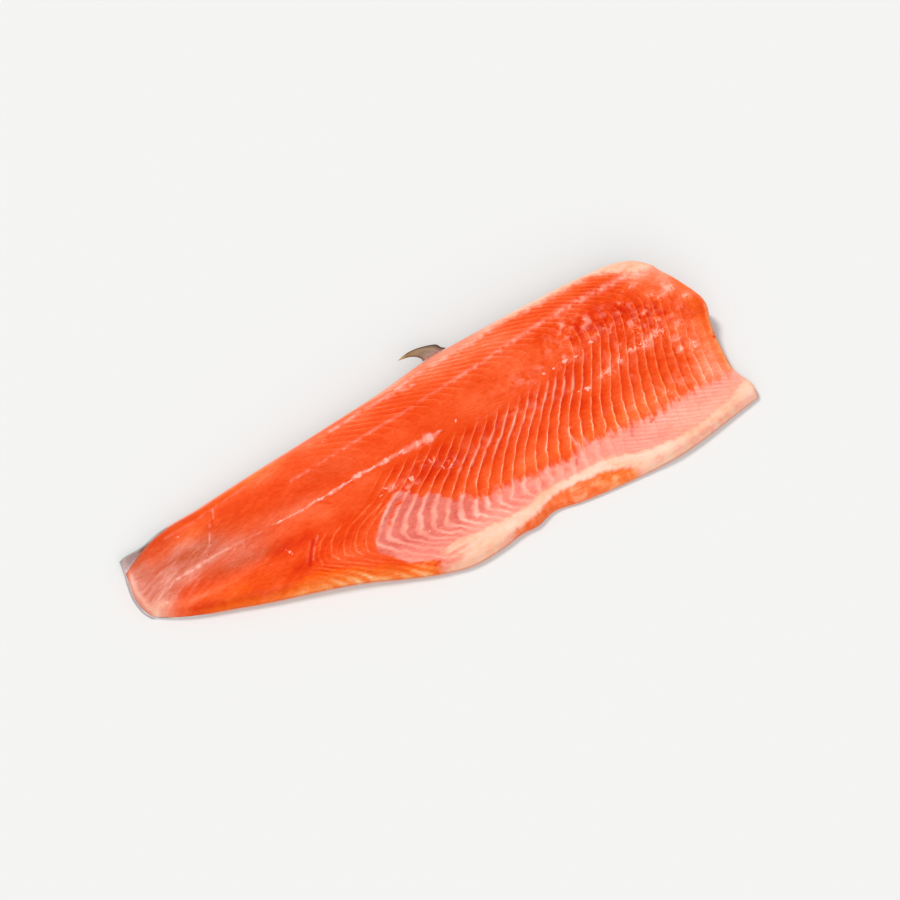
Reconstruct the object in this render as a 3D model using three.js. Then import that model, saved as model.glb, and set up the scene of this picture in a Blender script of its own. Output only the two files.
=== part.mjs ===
// One raw trout fillet lying skin side down: the flesh, the skin below it and a scrap of back fin.
// Millimetres. +X runs from the tail cut to the head cut, +Y from the belly to the back, +Z up.
// Points of the outline and of the lines in the flesh are [x, y] seen from above.

import * as THREE from 'three';

// Edges of the flesh, from the tail cut to the head cut.
const BELLY_EDGE = [
  [-190.5, -17], [-184.5, -20.4], [-141, -34.9], [-77, -50.8], [-28, -67.3], [-14, -69.9], [10, -67.5],
  [25, -64.1], [33, -64], [47, -59.5], [64, -61], [97, -61.7], [130, -60.2], [181, -49], [195, -45.6],
];
const BACK_EDGE = [
  [-194.5, 14.5], [-186, 20.3], [-177, 25.4], [-137, 33.7], [-47, 49], [-12, 55.2], [23, 63.2],
  [57, 67.2], [92, 71], [138, 74.6], [157, 74.6], [167, 72], [175, 66.5],
];

// The two cuts across the fish, as [y, x] from the belly to the back.
const TAIL_CUT = [[-17, -190.5], [-13, -193], [-5, -195.2], [14.5, -194.5]];
const HEAD_CUT = [
  [-45.6, 195], [-40, 196], [-22, 190.7], [-12, 191.4], [12, 194.6], [20, 197.1], [40, 187.4],
  [50, 182.2], [60, 179], [66.5, 175],
];

// Thickness of flesh and skin together, down the length and across the width.
const LOIN_THICKNESS = 27;
const TAIL_THICKNESS = 10;
const HEAD_THICKNESS = 22.5;
const THICKEST_X = 100;
const TAIL_END_X = -195;
const HEAD_END_X = 195;
const TAIL_SHARES = [[0, 0.6], [0.15, 0.84], [0.35, 0.96], [0.65, 1], [0.9, 0.95], [1, 0.85]];
const BODY_SHARES = [
  [0, 0.3], [0.2, 0.3], [0.32, 0.36], [0.45, 0.52], [0.58, 0.74], [0.67, 0.88], [0.78, 1], [0.9, 1],
  [1, 0.93],
];
const BODY_STARTS_X = -95;
const BODY_FULL_X = 20;

// Skin, and how the edges are rounded.
const SKIN_THICKNESS = 0.9;
const GAP = 0.3;
const SKIN_LEVEL = SKIN_THICKNESS + GAP;
const BACK_WRAP_SHARE = 0.34;
const BACK_ROUND_SHARE = 0.5;
const BELLY_ROUND = 5;
const BELLY_ROUND_WIDE = 10;
const BELLY_WIDE_X = [30, 45, 95, 130];
const TAIL_ROUND = 2;
const HEAD_ROUND = 3.5;
const TAIL_SKIN_LIP = 1.6;
const LIP_BLEND = 14;
const FLAP_OUT = 5.8;
const FLAP_RISE = 3;
const FLAP_LENGTH = 20;
const FLAP_DEPTH = 5;
const FLAP_LIP_LOSS = 0.8;

// The line down the middle of the flesh, where the pin bones were.
const MIDLINE = [[-196, -7.5], [-137, -2.8], [-58, 3.3], [0, 8.8], [64, 16], [114, 22.6], [196, 30]];

// Pale walls part the muscle into bands. WALL_COUNT numbers them by the x where they meet the midline:
// 8.5 mm apart at the tail and 5.5 mm at the head. From there a wall leans tailwards: WALL_REACH says
// how far it gets 40 mm below the midline, by the x where it meets it, and WALL_COURSE which share of
// that it has at a distance below the midline. Near the belly it turns back.
const WALL_COUNT = [
  [-230, -32], [-39, -9.1], [-5, -5.1], [12, -3.1], [35, -0.1], [71.5, 4.9], [97, 8.9], [122.5, 12.9],
  [145.5, 16.9], [162, 19.9], [240, 34],
];
const WALL_REACH = [
  [-230, 50], [10, 49.5], [35, 42.3], [71, 34.5], [97, 27.5], [122, 20.5], [146, 13.5], [170, 8], [230, 4],
];
const WALL_COURSE = [
  [0, 0], [8, 0.18], [15, 0.36], [22, 0.58], [30, 0.79], [37, 0.94], [45, 1.07], [52, 1.17], [90, 1.6],
];
const WALL_ROUNDS = 5;
const WALL_TURN_Y = [[-196, -20], [-110, -31], [-66, -39], [-20, -43.5], [30, -46.5], [60, -48], [196, -50]];
const WALL_TURN_SOFTNESS = 2;
const WALL_TURN_SLOPE = 1.3;

// Relief of the cut face.
const RIB_RELIEF = 0.45;
const RIB_CREST = 0.9;
const RIB_ZONE_X = [-75, -30, 150, 188];
const RIB_ZONE_TOP = [[-100, -22], [-40, -12], [0, -6], [25, 3], [70, 12], [110, 20], [196, 24]];
const RIB_ZONE_FADE = 6;
const RIB_ZONE_INSIDE = [8, 18];
const MIDLINE_GROOVE = 0.9;
const MIDLINE_GROOVE_WIDTH = 2.4;
const CAVITY_TOP = [[-60, -42], [-50, -28], [-30, -18], [-10, -27], [20, -35], [75, -34], [190, -29]];
const CAVITY_X = [-60, -48];
const CAVITY_STEP = 0.6;
const CAVITY_STEP_WIDTH = 4;
const FAT_BAND = [[-32, -62], [0, -61], [40, -55], [60, -50], [95, -50], [120, -54], [160, -49], [190, -39]];
const FAT_BAND_X = [-35, -10];
const FAT_BAND_WIDTH = 5;
const FAT_BAND_RELIEF = 0.8;
const SWELL = 0.55;
const SWELL_LENGTH = 62;
const SWELL_LENGTH_START = 1;
const SWELL_WIDTH = 41;
const SWELL_WIDTH_START = 0.6;

// Scrap of the back fin: its two edges as [x, y], from its root to its tip.
const FIN_UPPER = [[39, 66.9], [36.4, 68.2], [34.2, 71], [29, 72.3], [22, 73], [15, 72.3], [7.4, 69.6]];
const FIN_LOWER = [[21.9, 64.5], [22, 65.6], [21, 66.9], [19.4, 68], [16.8, 69], [13.4, 69.5], [7.4, 69.6]];
const FIN_THICKNESS = 1.2;
const FIN_ROOT_Z = 9.2;
const FIN_TIP_Z = 12.6;
const FIN_THINNING = 0.6;
const FIN_BLUNT_END = 0.985;

// Steps of the surface grid. The underside takes every second station.
const TAIL_ROWS = 26;
const BODY_ROWS = 108;
const TAIL_ROWS_END = 0.33;
const ROWS_LEAN = 0.2;
const ROWS_LEAN_PIVOT = 0.57;
const COLUMNS = 16;
const ROUND_STEPS = 4;
const BACK_ROUND_STEPS = 6;
const PATCH_LENGTH = 389;
const BELLY_ZONE = 0.06;
const BACK_ZONE = 0.11;
const FIN_STEPS = 18;
const FIN_BANDS = 4;

const { clamp, lerp } = THREE.MathUtils;

function ease(from, to, x) {
  const t = clamp((x - from) / (to - from), 0, 1);
  return t * t * (3 - 2 * t);
}

// 0 up to start, 1 from full to fade, 0 again from end on.
function between(x, [start, full, fade, end]) {
  return ease(start, full, x) * (1 - ease(fade, end, x));
}

function bell(distance, width) {
  return Math.exp(-((distance / width) ** 2));
}

// Quarter circle: 0 at an edge, 1 from the given distance inwards.
function rounded(distance, radius) {
  const t = 1 - clamp(distance / radius, 0, 1);
  return Math.sqrt(1 - t * t);
}

// Smooth curve through points whose first number rises, level beyond its ends.
function curve(points, at) {
  const last = points.length - 1;
  const x = clamp(at, points[0][0], points[last][0]);
  const step = (k) => points[k + 1][0] - points[k][0];
  const rise = (k) => (points[k + 1][1] - points[k][1]) / step(k);
  const slope = (k) => {
    if (k === 0) return rise(0);
    if (k === last) return rise(last - 1);
    return (rise(k - 1) * step(k) + rise(k) * step(k - 1)) / (step(k - 1) + step(k));
  };
  let k = 0;
  while (k < last - 1 && x > points[k + 1][0]) {
    k += 1;
  }
  const t = (x - points[k][0]) / step(k);
  const ends = (2 * t - 3) * t * t;
  const bend = step(k) * (t * (1 - t) ** 2 * slope(k) - t * t * (1 - t) * slope(k + 1));
  return points[k][1] * (1 + ends) - points[k + 1][1] * ends + bend;
}

// Outline of the flesh, blended from its four edges. u runs tail to head, v belly to back.
function outlinePoint(u, v) {
  const along = (edge, t) => {
    const x = lerp(edge[0][0], edge[edge.length - 1][0], t);
    return new THREE.Vector2(x, curve(edge, x));
  };
  const across = (cut, t) => {
    const y = lerp(cut[0][0], cut[cut.length - 1][0], t);
    return new THREE.Vector2(curve(cut, y), y);
  };
  const lengthwise = along(BELLY_EDGE, u).lerp(along(BACK_EDGE, u), v);
  const crosswise = across(TAIL_CUT, v).lerp(across(HEAD_CUT, v), u);
  const tailEnd = along(BELLY_EDGE, 0).lerp(along(BACK_EDGE, 0), v);
  const headEnd = along(BELLY_EDGE, 1).lerp(along(BACK_EDGE, 1), v);
  return lengthwise.add(crosswise).sub(tailEnd.lerp(headEnd, u));
}

// The grid's rows lean the way the ribs do.
function planPoint(u, v) {
  const lean = ROWS_LEAN * (v - ROWS_LEAN_PIVOT) * Math.sin(Math.PI * u);
  return outlinePoint(u + lean, v);
}

function loinThickness(x) {
  if (x > THICKEST_X) {
    const t = (x - THICKEST_X) / (HEAD_END_X - THICKEST_X);
    return LOIN_THICKNESS - (LOIN_THICKNESS - HEAD_THICKNESS) * t * t;
  }
  const t = (THICKEST_X - x) / (THICKEST_X - TAIL_END_X);
  return LOIN_THICKNESS - (LOIN_THICKNESS - TAIL_THICKNESS) * t ** 1.5;
}

// The skin wraps up round the back edge in a quarter circle of this radius.
function wrapRadius(x) {
  return BACK_WRAP_SHARE * loinThickness(x) - SKIN_LEVEL;
}

function fromEdges(x, y) {
  const belly = curve(BELLY_EDGE, x);
  const back = curve(BACK_EDGE, x);
  return {
    belly: y - belly,
    back: back - y,
    tail: x - curve(TAIL_CUT, y),
    head: curve(HEAD_CUT, y) - x,
    share: clamp((y - belly) / (back - belly), 0, 1),
  };
}

// Whole at a wall, rising towards the head from one wall to the next.
function wallCount(x, y) {
  const below = Math.max(curve(MIDLINE, x) - y, 0);
  const turn = curve(MIDLINE, x) - curve(WALL_TURN_Y, x);
  const past = WALL_TURN_SOFTNESS * Math.log1p(Math.exp((below - turn) / WALL_TURN_SOFTNESS));
  const share = curve(WALL_COURSE, below - past);
  let meets = x;
  for (let k = 0; k < WALL_ROUNDS; k += 1) {
    meets = x + curve(WALL_REACH, meets) * share;
  }
  return curve(WALL_COUNT, meets - WALL_TURN_SLOPE * past);
}

function relief(x, y, edges) {
  const below = curve(MIDLINE, x) - y;
  const inside = ease(0, RIB_ZONE_FADE, curve(RIB_ZONE_TOP, x) - y) * ease(...RIB_ZONE_INSIDE, edges.belly);
  const ribs = between(x, RIB_ZONE_X) * inside * Math.cos(2 * Math.PI * (wallCount(x, y) - RIB_CREST));
  const groove = bell(below, MIDLINE_GROOVE_WIDTH);
  const cavity = ease(...CAVITY_X, x) * ease(0, CAVITY_STEP_WIDTH, curve(CAVITY_TOP, x) - y);
  const fatBand = ease(...FAT_BAND_X, x) * bell(y - curve(FAT_BAND, x), FAT_BAND_WIDTH);
  const swell = Math.sin((x / SWELL_LENGTH) * Math.PI + SWELL_LENGTH_START)
    * Math.sin((y / SWELL_WIDTH) * Math.PI + SWELL_WIDTH_START);
  return RIB_RELIEF * ribs - MIDLINE_GROOVE * groove - CAVITY_STEP * cavity
    + FAT_BAND_RELIEF * fatBand + SWELL * swell;
}

function underHeight(x, y) {
  const radius = wrapRadius(x);
  return SKIN_LEVEL + radius * (1 - rounded(curve(BACK_EDGE, x) - y, radius));
}

function topHeight(x, y) {
  const edges = fromEdges(x, y);
  const loin = loinThickness(x);
  const body = ease(BODY_STARTS_X, BODY_FULL_X, x);
  const share = lerp(curve(TAIL_SHARES, edges.share), curve(BODY_SHARES, edges.share), body);
  const bellyRound = lerp(BELLY_ROUND, BELLY_ROUND_WIDE, between(x, BELLY_WIDE_X));
  const rounding = rounded(edges.back, BACK_ROUND_SHARE * loin)
    * rounded(edges.belly, bellyRound)
    * rounded(edges.tail, TAIL_ROUND)
    * rounded(edges.head, HEAD_ROUND);
  const under = underHeight(x, y);
  return under + (loin * share + relief(x, y, edges) - under) * rounding;
}

// Stations from 0 to 1: quarter circle steps near both ends, even steps between.
function stations(startZone, startSteps, even, endZone, endSteps) {
  const arc = (k, steps) => 1 - Math.cos((k / steps) * (Math.PI / 2));
  const list = [];
  for (let k = 0; k < startSteps; k += 1) {
    list.push(startZone * arc(k, startSteps));
  }
  list.push(...even);
  for (let k = endSteps - 1; k >= 0; k -= 1) {
    list.push(1 - endZone * arc(k, endSteps));
  }
  return list;
}

function evenSteps(from, to, count) {
  return Array.from({ length: count }, (_, k) => lerp(from, to, k / count));
}

function rowStations() {
  const tailZone = TAIL_ROUND / PATCH_LENGTH;
  const headZone = HEAD_ROUND / PATCH_LENGTH;
  const even = [
    ...evenSteps(tailZone, TAIL_ROWS_END, TAIL_ROWS),
    ...evenSteps(TAIL_ROWS_END, 1 - headZone, BODY_ROWS),
    1 - headZone,
  ];
  return stations(tailZone, ROUND_STEPS, even, headZone, ROUND_STEPS);
}

function columnStations() {
  const even = [...evenSteps(BELLY_ZONE, 1 - BACK_ZONE, COLUMNS), 1 - BACK_ZONE];
  return stations(BELLY_ZONE, ROUND_STEPS, even, BACK_ZONE, BACK_ROUND_STEPS);
}

// Collects points and faces of one closed body.
class Surface {
  constructor() {
    this.points = [];
    this.faces = [];
  }

  addPoint(point) {
    this.points.push(point.x, point.y, point.z);
    return this.points.length / 3 - 1;
  }

  addGrid(us, vs, pointAt) {
    return us.map((u) => vs.map((v) => this.addPoint(pointAt(u, v))));
  }

  addPolygon(corners, upwards) {
    const ring = upwards ? corners : [...corners].reverse();
    const hub = upwards ? 0 : ring.length - 1;
    for (let k = 1; k < ring.length - 1; k += 1) {
      this.faces.push(ring[hub], ring[(hub + k) % ring.length], ring[(hub + k + 1) % ring.length]);
    }
  }

  // One polygon a cell, counter-clockwise seen from above when upwards is true.
  coverGrid(grid, upwards) {
    for (let i = 0; i < grid.length - 1; i += 1) {
      for (let j = 0; j < grid[i].length - 1; j += 1) {
        this.addPolygon([grid[i][j], grid[i + 1][j], grid[i + 1][j + 1], grid[i][j + 1]], upwards);
      }
    }
  }

  geometry() {
    const geometry = new THREE.BufferGeometry();
    geometry.setAttribute('position', new THREE.Float32BufferAttribute(this.points, 3));
    geometry.setIndex(this.faces);
    geometry.computeVertexNormals();
    return geometry;
  }
}

// The border of a grid of points, once round, counter-clockwise seen from above.
function border(grid) {
  const lastRow = grid.length - 1;
  const lastColumn = grid[0].length - 1;
  const ring = [];
  for (let i = 0; i < lastRow; i += 1) ring.push(grid[i][0]);
  for (let j = 0; j < lastColumn; j += 1) ring.push(grid[lastRow][j]);
  for (let i = lastRow; i > 0; i -= 1) ring.push(grid[i][lastColumn]);
  for (let j = lastColumn; j > 0; j -= 1) ring.push(grid[0][j]);
  return ring;
}

function everySecond(list) {
  return list.filter((_, k) => k % 2 === 0);
}

// Flesh: a fine cut face above, an underside with half the steps, one shared rim. Between the
// underside's stations the rim runs straight, so that the skin's rim stays parallel to it.
function makeFlesh(us, vs) {
  const surface = new Surface();
  const rows = us.length - 1;
  const columns = vs.length - 1;
  const isRim = (i, j) => i === 0 || i === rows || j === 0 || j === columns;
  const underPoint = (i, j) => {
    const { x, y } = planPoint(us[i], vs[j]);
    return new THREE.Vector3(x, y, underHeight(x, y));
  };
  const rimPoint = (i, j) => {
    if (i % 2) return underPoint(i - 1, j).lerp(underPoint(i + 1, j), 0.5);
    if (j % 2) return underPoint(i, j - 1).lerp(underPoint(i, j + 1), 0.5);
    return underPoint(i, j);
  };
  const topPoint = (i, j) => {
    const { x, y } = planPoint(us[i], vs[j]);
    return new THREE.Vector3(x, y, topHeight(x, y));
  };
  const overGrid = (pick) => us.map((_u, i) => vs.map((_v, j) => pick(i, j)));
  const top = overGrid((i, j) => surface.addPoint(isRim(i, j) ? rimPoint(i, j) : topPoint(i, j)));
  surface.coverGrid(top, true);

  const under = overGrid((i, j) => {
    if (isRim(i, j)) return top[i][j];
    return i % 2 || j % 2 ? null : surface.addPoint(underPoint(i, j));
  });
  const cellRing = (i, j) => [
    [i, j], [i + 1, j], [i + 2, j], [i + 2, j + 1], [i + 2, j + 2], [i + 1, j + 2], [i, j + 2], [i, j + 1],
  ];
  for (let i = 0; i < rows; i += 2) {
    for (let j = 0; j < columns; j += 2) {
      const ring = cellRing(i, j).filter(([a, b]) => under[a][b] !== null);
      const inner = ring.findIndex(([a, b]) => !isRim(a, b));
      const turned = [...ring.slice(inner), ...ring.slice(0, inner)];
      surface.addPolygon(turned.map(([a, b]) => under[a][b]), false);
    }
  }
  return surface.geometry();
}

// A point of the skin, at a distance below the flesh, with the loose lip and flap at the tail.
function skinPoint(u, v, distance) {
  const { x, y } = planPoint(u, v);
  const edges = fromEdges(x, y);
  const radius = wrapRadius(x);
  const slope = (curve(BACK_EDGE, x + 1) - curve(BACK_EDGE, x - 1)) / 2;
  const outwards = distance * (1 - clamp(edges.back / radius, 0, 1)) / Math.hypot(1, slope);
  const nearBack = 1 - ease(0, FLAP_DEPTH, edges.back);
  const flap = nearBack * (1 - ease(0, FLAP_LENGTH, edges.tail));
  const lip = TAIL_SKIN_LIP * (1 - FLAP_LIP_LOSS * nearBack) * (1 - ease(0, LIP_BLEND, edges.tail));
  return new THREE.Vector3(
    x - slope * outwards - lip,
    y + outwards + FLAP_OUT * flap,
    underHeight(x, y) - distance * rounded(edges.back, radius) + FLAP_RISE * flap ** 3,
  );
}

function makeSkin(us, vs) {
  const surface = new Surface();
  const inner = surface.addGrid(us, vs, (u, v) => skinPoint(u, v, GAP));
  const outer = surface.addGrid(us, vs, (u, v) => skinPoint(u, v, SKIN_LEVEL));
  surface.coverGrid(inner, true);
  surface.coverGrid(outer, false);
  const innerRim = border(inner);
  const outerRim = border(outer);
  innerRim.forEach((corner, k) => {
    const next = (k + 1) % innerRim.length;
    surface.addPolygon([corner, outerRim[k], outerRim[next], innerRim[next]], true);
  });
  return surface.geometry();
}

// Fin: a thin hooked blade between its two edges, thinning and rising to its tip.
function makeFin() {
  const upperEdge = new THREE.CatmullRomCurve3(FIN_UPPER.map(([x, y]) => new THREE.Vector3(x, y, 0)));
  const lowerEdge = new THREE.CatmullRomCurve3(FIN_LOWER.map(([x, y]) => new THREE.Vector3(x, y, 0)));
  const bladePoint = (side) => (t, s) => {
    const along = t * FIN_BLUNT_END;
    const point = lowerEdge.getPoint(along).lerp(upperEdge.getPoint(along), s);
    const halfThickness = (FIN_THICKNESS / 2) * (1 - FIN_THINNING * t);
    point.z = lerp(FIN_ROOT_Z, FIN_TIP_Z, t) + side * halfThickness;
    return point;
  };
  const ts = [...evenSteps(0, 1, FIN_STEPS), 1];
  const ss = [...evenSteps(0, 1, FIN_BANDS), 1];
  const surface = new Surface();
  const above = surface.addGrid(ts, ss, bladePoint(1));
  const below = surface.addGrid(ts, ss, bladePoint(-1));
  surface.coverGrid(above, false);
  surface.coverGrid(below, true);
  const aboveRim = border(above);
  const belowRim = border(below);
  aboveRim.forEach((corner, k) => {
    const next = (k + 1) % aboveRim.length;
    surface.addPolygon([corner, belowRim[k], belowRim[next], aboveRim[next]], false);
  });
  return surface.geometry();
}

function namedMesh(name, geometry, material) {
  const mesh = new THREE.Mesh(geometry, new THREE.MeshStandardMaterial(material));
  mesh.name = name;
  return mesh;
}

const WET_FLESH = { color: 0xf0531f, roughness: 0.35, metalness: 0 };
const SILVER_SKIN = { color: 0xa8a4a0, roughness: 0.4, metalness: 0 };
const BROWN_FIN = { color: 0x8f7860, roughness: 0.55, metalness: 0 };

const rows = rowStations();
const columns = columnStations();
const fillet = new THREE.Group();
fillet.add(
  namedMesh('flesh', makeFlesh(rows, columns), WET_FLESH),
  namedMesh('skin', makeSkin(everySecond(rows), everySecond(columns)), SILVER_SKIN),
  namedMesh('back_fin', makeFin(), BROWN_FIN),
);

// The origin is below the middle of the whole piece, on the surface that it lies on.
const box = new THREE.Box3().setFromObject(fillet);
const middle = box.getCenter(new THREE.Vector3());
fillet.position.set(-middle.x, -middle.y, -box.min.z);
fillet.updateMatrixWorld(true);

export default fillet;
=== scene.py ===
import math

import bpy
import numpy as np
from mathutils import Matrix, Vector


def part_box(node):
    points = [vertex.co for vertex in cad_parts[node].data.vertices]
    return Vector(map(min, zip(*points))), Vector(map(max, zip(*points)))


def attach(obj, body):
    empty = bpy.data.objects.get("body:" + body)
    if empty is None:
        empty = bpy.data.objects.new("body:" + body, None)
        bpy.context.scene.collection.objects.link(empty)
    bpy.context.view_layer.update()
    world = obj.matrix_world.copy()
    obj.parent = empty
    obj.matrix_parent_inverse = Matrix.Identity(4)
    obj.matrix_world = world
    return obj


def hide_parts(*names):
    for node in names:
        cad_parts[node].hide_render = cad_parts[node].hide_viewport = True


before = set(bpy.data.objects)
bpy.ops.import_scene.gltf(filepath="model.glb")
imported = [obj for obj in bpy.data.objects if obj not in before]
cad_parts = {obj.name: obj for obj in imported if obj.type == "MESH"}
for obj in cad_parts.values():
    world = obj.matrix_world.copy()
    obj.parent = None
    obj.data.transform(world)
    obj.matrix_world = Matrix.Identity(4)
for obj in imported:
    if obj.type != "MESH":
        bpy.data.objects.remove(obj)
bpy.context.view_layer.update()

# A raw trout fillet lying skin side down. Its own outline and fields are worked out in millimetres in the
# frame of the outline: +X from the tail cut to the head cut, +Y from the belly to the back, +Z up.
MM = 0.001

# ---------------------------------------------------------------- camera
CAMERA_AZIMUTH = math.radians(-26.7)
CAMERA_ELEVATION = math.radians(60)
CAMERA_LENS_MM = 85
SENSOR_MM = 36
CAMERA_CLIP_END = 20
CAMERA_DISTANCE = 1275 * MM
LOOKS_AT = Vector((11.3, 2.8, 0)) * MM


def place_camera():
    """The photograph's view: 60 degrees above the surface, a little from the tail."""
    flat = math.cos(CAMERA_ELEVATION)
    towards_camera = Vector((
        math.sin(CAMERA_AZIMUTH) * flat,
        -math.cos(CAMERA_AZIMUTH) * flat,
        math.sin(CAMERA_ELEVATION),
    ))
    lens = bpy.data.cameras.new("camera")
    lens.lens = CAMERA_LENS_MM
    lens.sensor_width = SENSOR_MM
    lens.clip_end = CAMERA_CLIP_END
    camera = bpy.data.objects.new("camera", lens)
    camera.location = LOOKS_AT + towards_camera * CAMERA_DISTANCE
    camera.rotation_euler = towards_camera.to_track_quat("Z", "Y").to_euler()
    bpy.context.scene.collection.objects.link(camera)
    bpy.context.scene.camera = camera


place_camera()

# ---------------------------------------------------------------- sizes of the fillet, mm
BELLY_EDGE = [
    (-190.5, -17), (-184.5, -20.4), (-141, -34.9), (-77, -50.8), (-28, -67.3), (-14, -69.9), (10, -67.5),
    (25, -64.1), (33, -64), (47, -59.5), (64, -61), (97, -61.7), (130, -60.2), (181, -49), (195, -45.6),
]
BACK_EDGE = [
    (-194.5, 14.5), (-186, 20.3), (-177, 25.4), (-137, 33.7), (-47, 49), (-12, 55.2), (23, 63.2),
    (57, 67.2), (92, 71), (138, 74.6), (157, 74.6), (167, 72), (175, 66.5),
]
TAIL_CUT = [(-17, -190.5), (-13, -193), (-5, -195.2), (14.5, -194.5)]
HEAD_CUT = [
    (-45.6, 195), (-40, 196), (-22, 190.7), (-12, 191.4), (12, 194.6), (20, 197.1), (40, 187.4),
    (50, 182.2), (60, 179), (66.5, 175),
]
# The corner of the head cut at the back is rounded off towards a point inside.
ROUNDED_CORNER_CENTRE = (150, 45)
CORNER_PULL = 0.8
CORNER_PULL_REACH = 3.5
LOIN_THICKNESS = 27
TAIL_THICKNESS = 10
HEAD_THICKNESS = 22.5
THICKEST_X = 100
TAIL_END_X = -195
HEAD_END_X = 195
TAIL_SHARES = [(0, 0.6), (0.15, 0.84), (0.35, 0.96), (0.65, 1), (0.9, 0.95), (1, 0.85)]
BODY_SHARES = [
    (0, 0.3), (0.2, 0.3), (0.32, 0.36), (0.45, 0.52), (0.58, 0.74), (0.67, 0.88), (0.78, 1), (0.9, 1),
    (1, 0.93),
]
BODY_X = (-95, 20)

SKIN_THICKNESS = 0.9
GAP = 0.3
SKIN_LEVEL = SKIN_THICKNESS + GAP
BACK_WRAP_SHARE = 0.34
BACK_ROUND_SHARE = 0.5
BELLY_ROUND = 5
BELLY_ROUND_WIDE = 10
BELLY_WIDE_X = (30, 45, 95, 130)
TAIL_ROUND = 2
HEAD_ROUND = 3.5
HEAD_ROUND_AT_BACK = 6.5
HEAD_ROUND_Y = (35, 62)
TAIL_SKIN_LIP = 1.6
LIP_BLEND = 14
FLAP_OUT = 5.8
FLAP_RISE = 3
FLAP_LENGTH = 20
FLAP_DEPTH = 5
FLAP_LIP_LOSS = 0.8

# The pale cut edge of the skin, wider at the belly as painted light over its shaded edge, and its grey lip
# at the tail, mm
CUT_EDGE_INSIDE = 3
CUT_EDGE_OUTSIDE = 0.4
PAINTED_LIGHT_EDGE_AT_BELLY = 1.2
BELLY_EDGE_REACH = (8, 16)
BELLY_EDGE_X = (-160, -150)
TAIL_EDGE_X = (-160, -172)
NO_CUT_EDGE = 9
LIP_WIDTH = 2.5
LIP_END_Y = (10, 16)

# Walls between the muscle bands
MIDLINE = [(-196, -7.5), (-137, -2.8), (-58, 3.3), (0, 8.8), (64, 16), (114, 22.6), (196, 30)]
WALL_COUNT = [
    (-230, -32), (-39, -9.1), (-5, -5.1), (12, -3.1), (35, -0.1), (71.5, 4.9), (97, 8.9), (122.5, 12.9),
    (145.5, 16.9), (162, 19.9), (240, 34), (340, 51.5),
]
WALL_REACH = [
    (-230, 50), (10, 49.5), (35, 42.3), (71, 34.5), (97, 27.5), (122, 20.5), (146, 13.5), (170, 8),
    (230, 4),
]
WALL_COURSE = [
    (0, 0), (8, 0.18), (15, 0.36), (22, 0.58), (30, 0.79), (37, 0.94), (45, 1.07), (52, 1.17), (90, 1.6),
]
WALL_ROUNDS = 5
WALL_TURN_Y = [(-196, -20), (-110, -31), (-66, -39), (-20, -43.5), (30, -46.5), (60, -48), (196, -50)]
WALL_TURN_SOFTNESS = 2
WALL_TURN_SLOPE = 1.8
BACK_LEAN = -0.3
BACK_TURN = 17
BACK_TURN_SOFTNESS = 5
BACK_SLOPE = [(-60, 2.6), (40, 2.6), (90, 2)]

# Relief of the cut face
RIB_RELIEF = 0.36
RIB_PROFILE = [(0, 0), (0.45, 0.2), (0.8, 0.75), (0.92, 1), (1, 0)]
RIB_ZONE_X = (-75, -30, 150, 188)
RIB_ZONE_TOP = [(-100, -22), (-40, -12), (0, -6), (25, 3), (70, 12), (110, 20), (196, 24)]
RIB_ZONE_FADE = 6
RIB_ZONE_INSIDE = (8, 18)
BACK_RELIEF = 0.16
BACK_RELIEF_ABOVE = (12, 22)
PALE_RELIEF = 0.22
TORN_RELIEF = 0.5
MIDLINE_GROOVE = 0.9
MIDLINE_GROOVE_WIDTH = 2.4
MIDLINE_BEAD = 0.5
MIDLINE_BEAD_WIDTH = 1.6
CAVITY_STEP = 0.6
CAVITY_STEP_WIDTH = 4
FAT_BAND = [(-32, -62), (0, -61), (40, -55), (60, -50), (95, -50), (120, -54), (160, -49), (190, -39)]
FAT_BAND_X = (-35, -10)
FAT_BAND_WIDTH = 5
FAT_BAND_RELIEF = 0.8
SWELL = 0.55
SWELL_LENGTH = 62
SWELL_LENGTH_START = 1
SWELL_WIDTH = 41
SWELL_WIDTH_START = 0.6

# ---------------------------------------------------------------- marks seen on the cut face, mm
TAIL_BACK_LINE = [
    (-196, 17), (-172, 20.5), (-160, 22), (-150, 22.6), (-130, 26), (-115, 29), (-90, 35), (-60, 41),
]
CAVITY_TOP = [
    (-60, -41), (-57, -36.5), (-50, -28), (-43, -20), (-36, -15), (-30, -14), (-24, -20), (-14, -22.5),
    (-9, -26), (-5, -30), (3, -30), (8, -34), (13, -36), (25, -34), (40, -35), (60, -36), (72, -36),
    (80, -31.5), (100, -32), (130, -31), (150, -28), (190, -25),
]
FAT_TOP = [
    (-30, -59), (-20, -55.5), (0, -54.5), (20, -53.5), (35, -51.5), (45, -48), (60, -47), (95, -46),
    (105, -49), (120, -51.5), (140, -50.5), (160, -47), (180, -40), (190, -34),
]
FAT_FOOT = [
    (-25, -67), (5, -67), (20, -62.5), (30, -60), (38, -58), (42, -55), (50, -52.5), (75, -51.5),
    (88, -52.5), (97, -55), (107, -59), (120, -70),
]
TAIL_BELLY_TOP = [
    (-196, -30), (-168, -27), (-150, -30), (-120, -37), (-100, -37.5), (-80, -43), (-65, -49), (-50, -54),
    (-35, -58.5), (-24, -62),
]
BACK_FAT = [
    (-196, 60), (-110, 40), (-70, 44), (-50, 46.5), (-20, 49), (0, 50), (20, 49.8), (50, 52.6), (80, 58),
    (100, 59.5), (150, 60.5), (158, 57), (170, 54), (186, 52),
]
FEATHERS = [
    (-10, -14), (0, -12), (15, -12), (25, -9), (35, -7), (45, -4), (55, 0), (65, 3), (75, 6), (88, 7),
    (100, 4),
]

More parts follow.
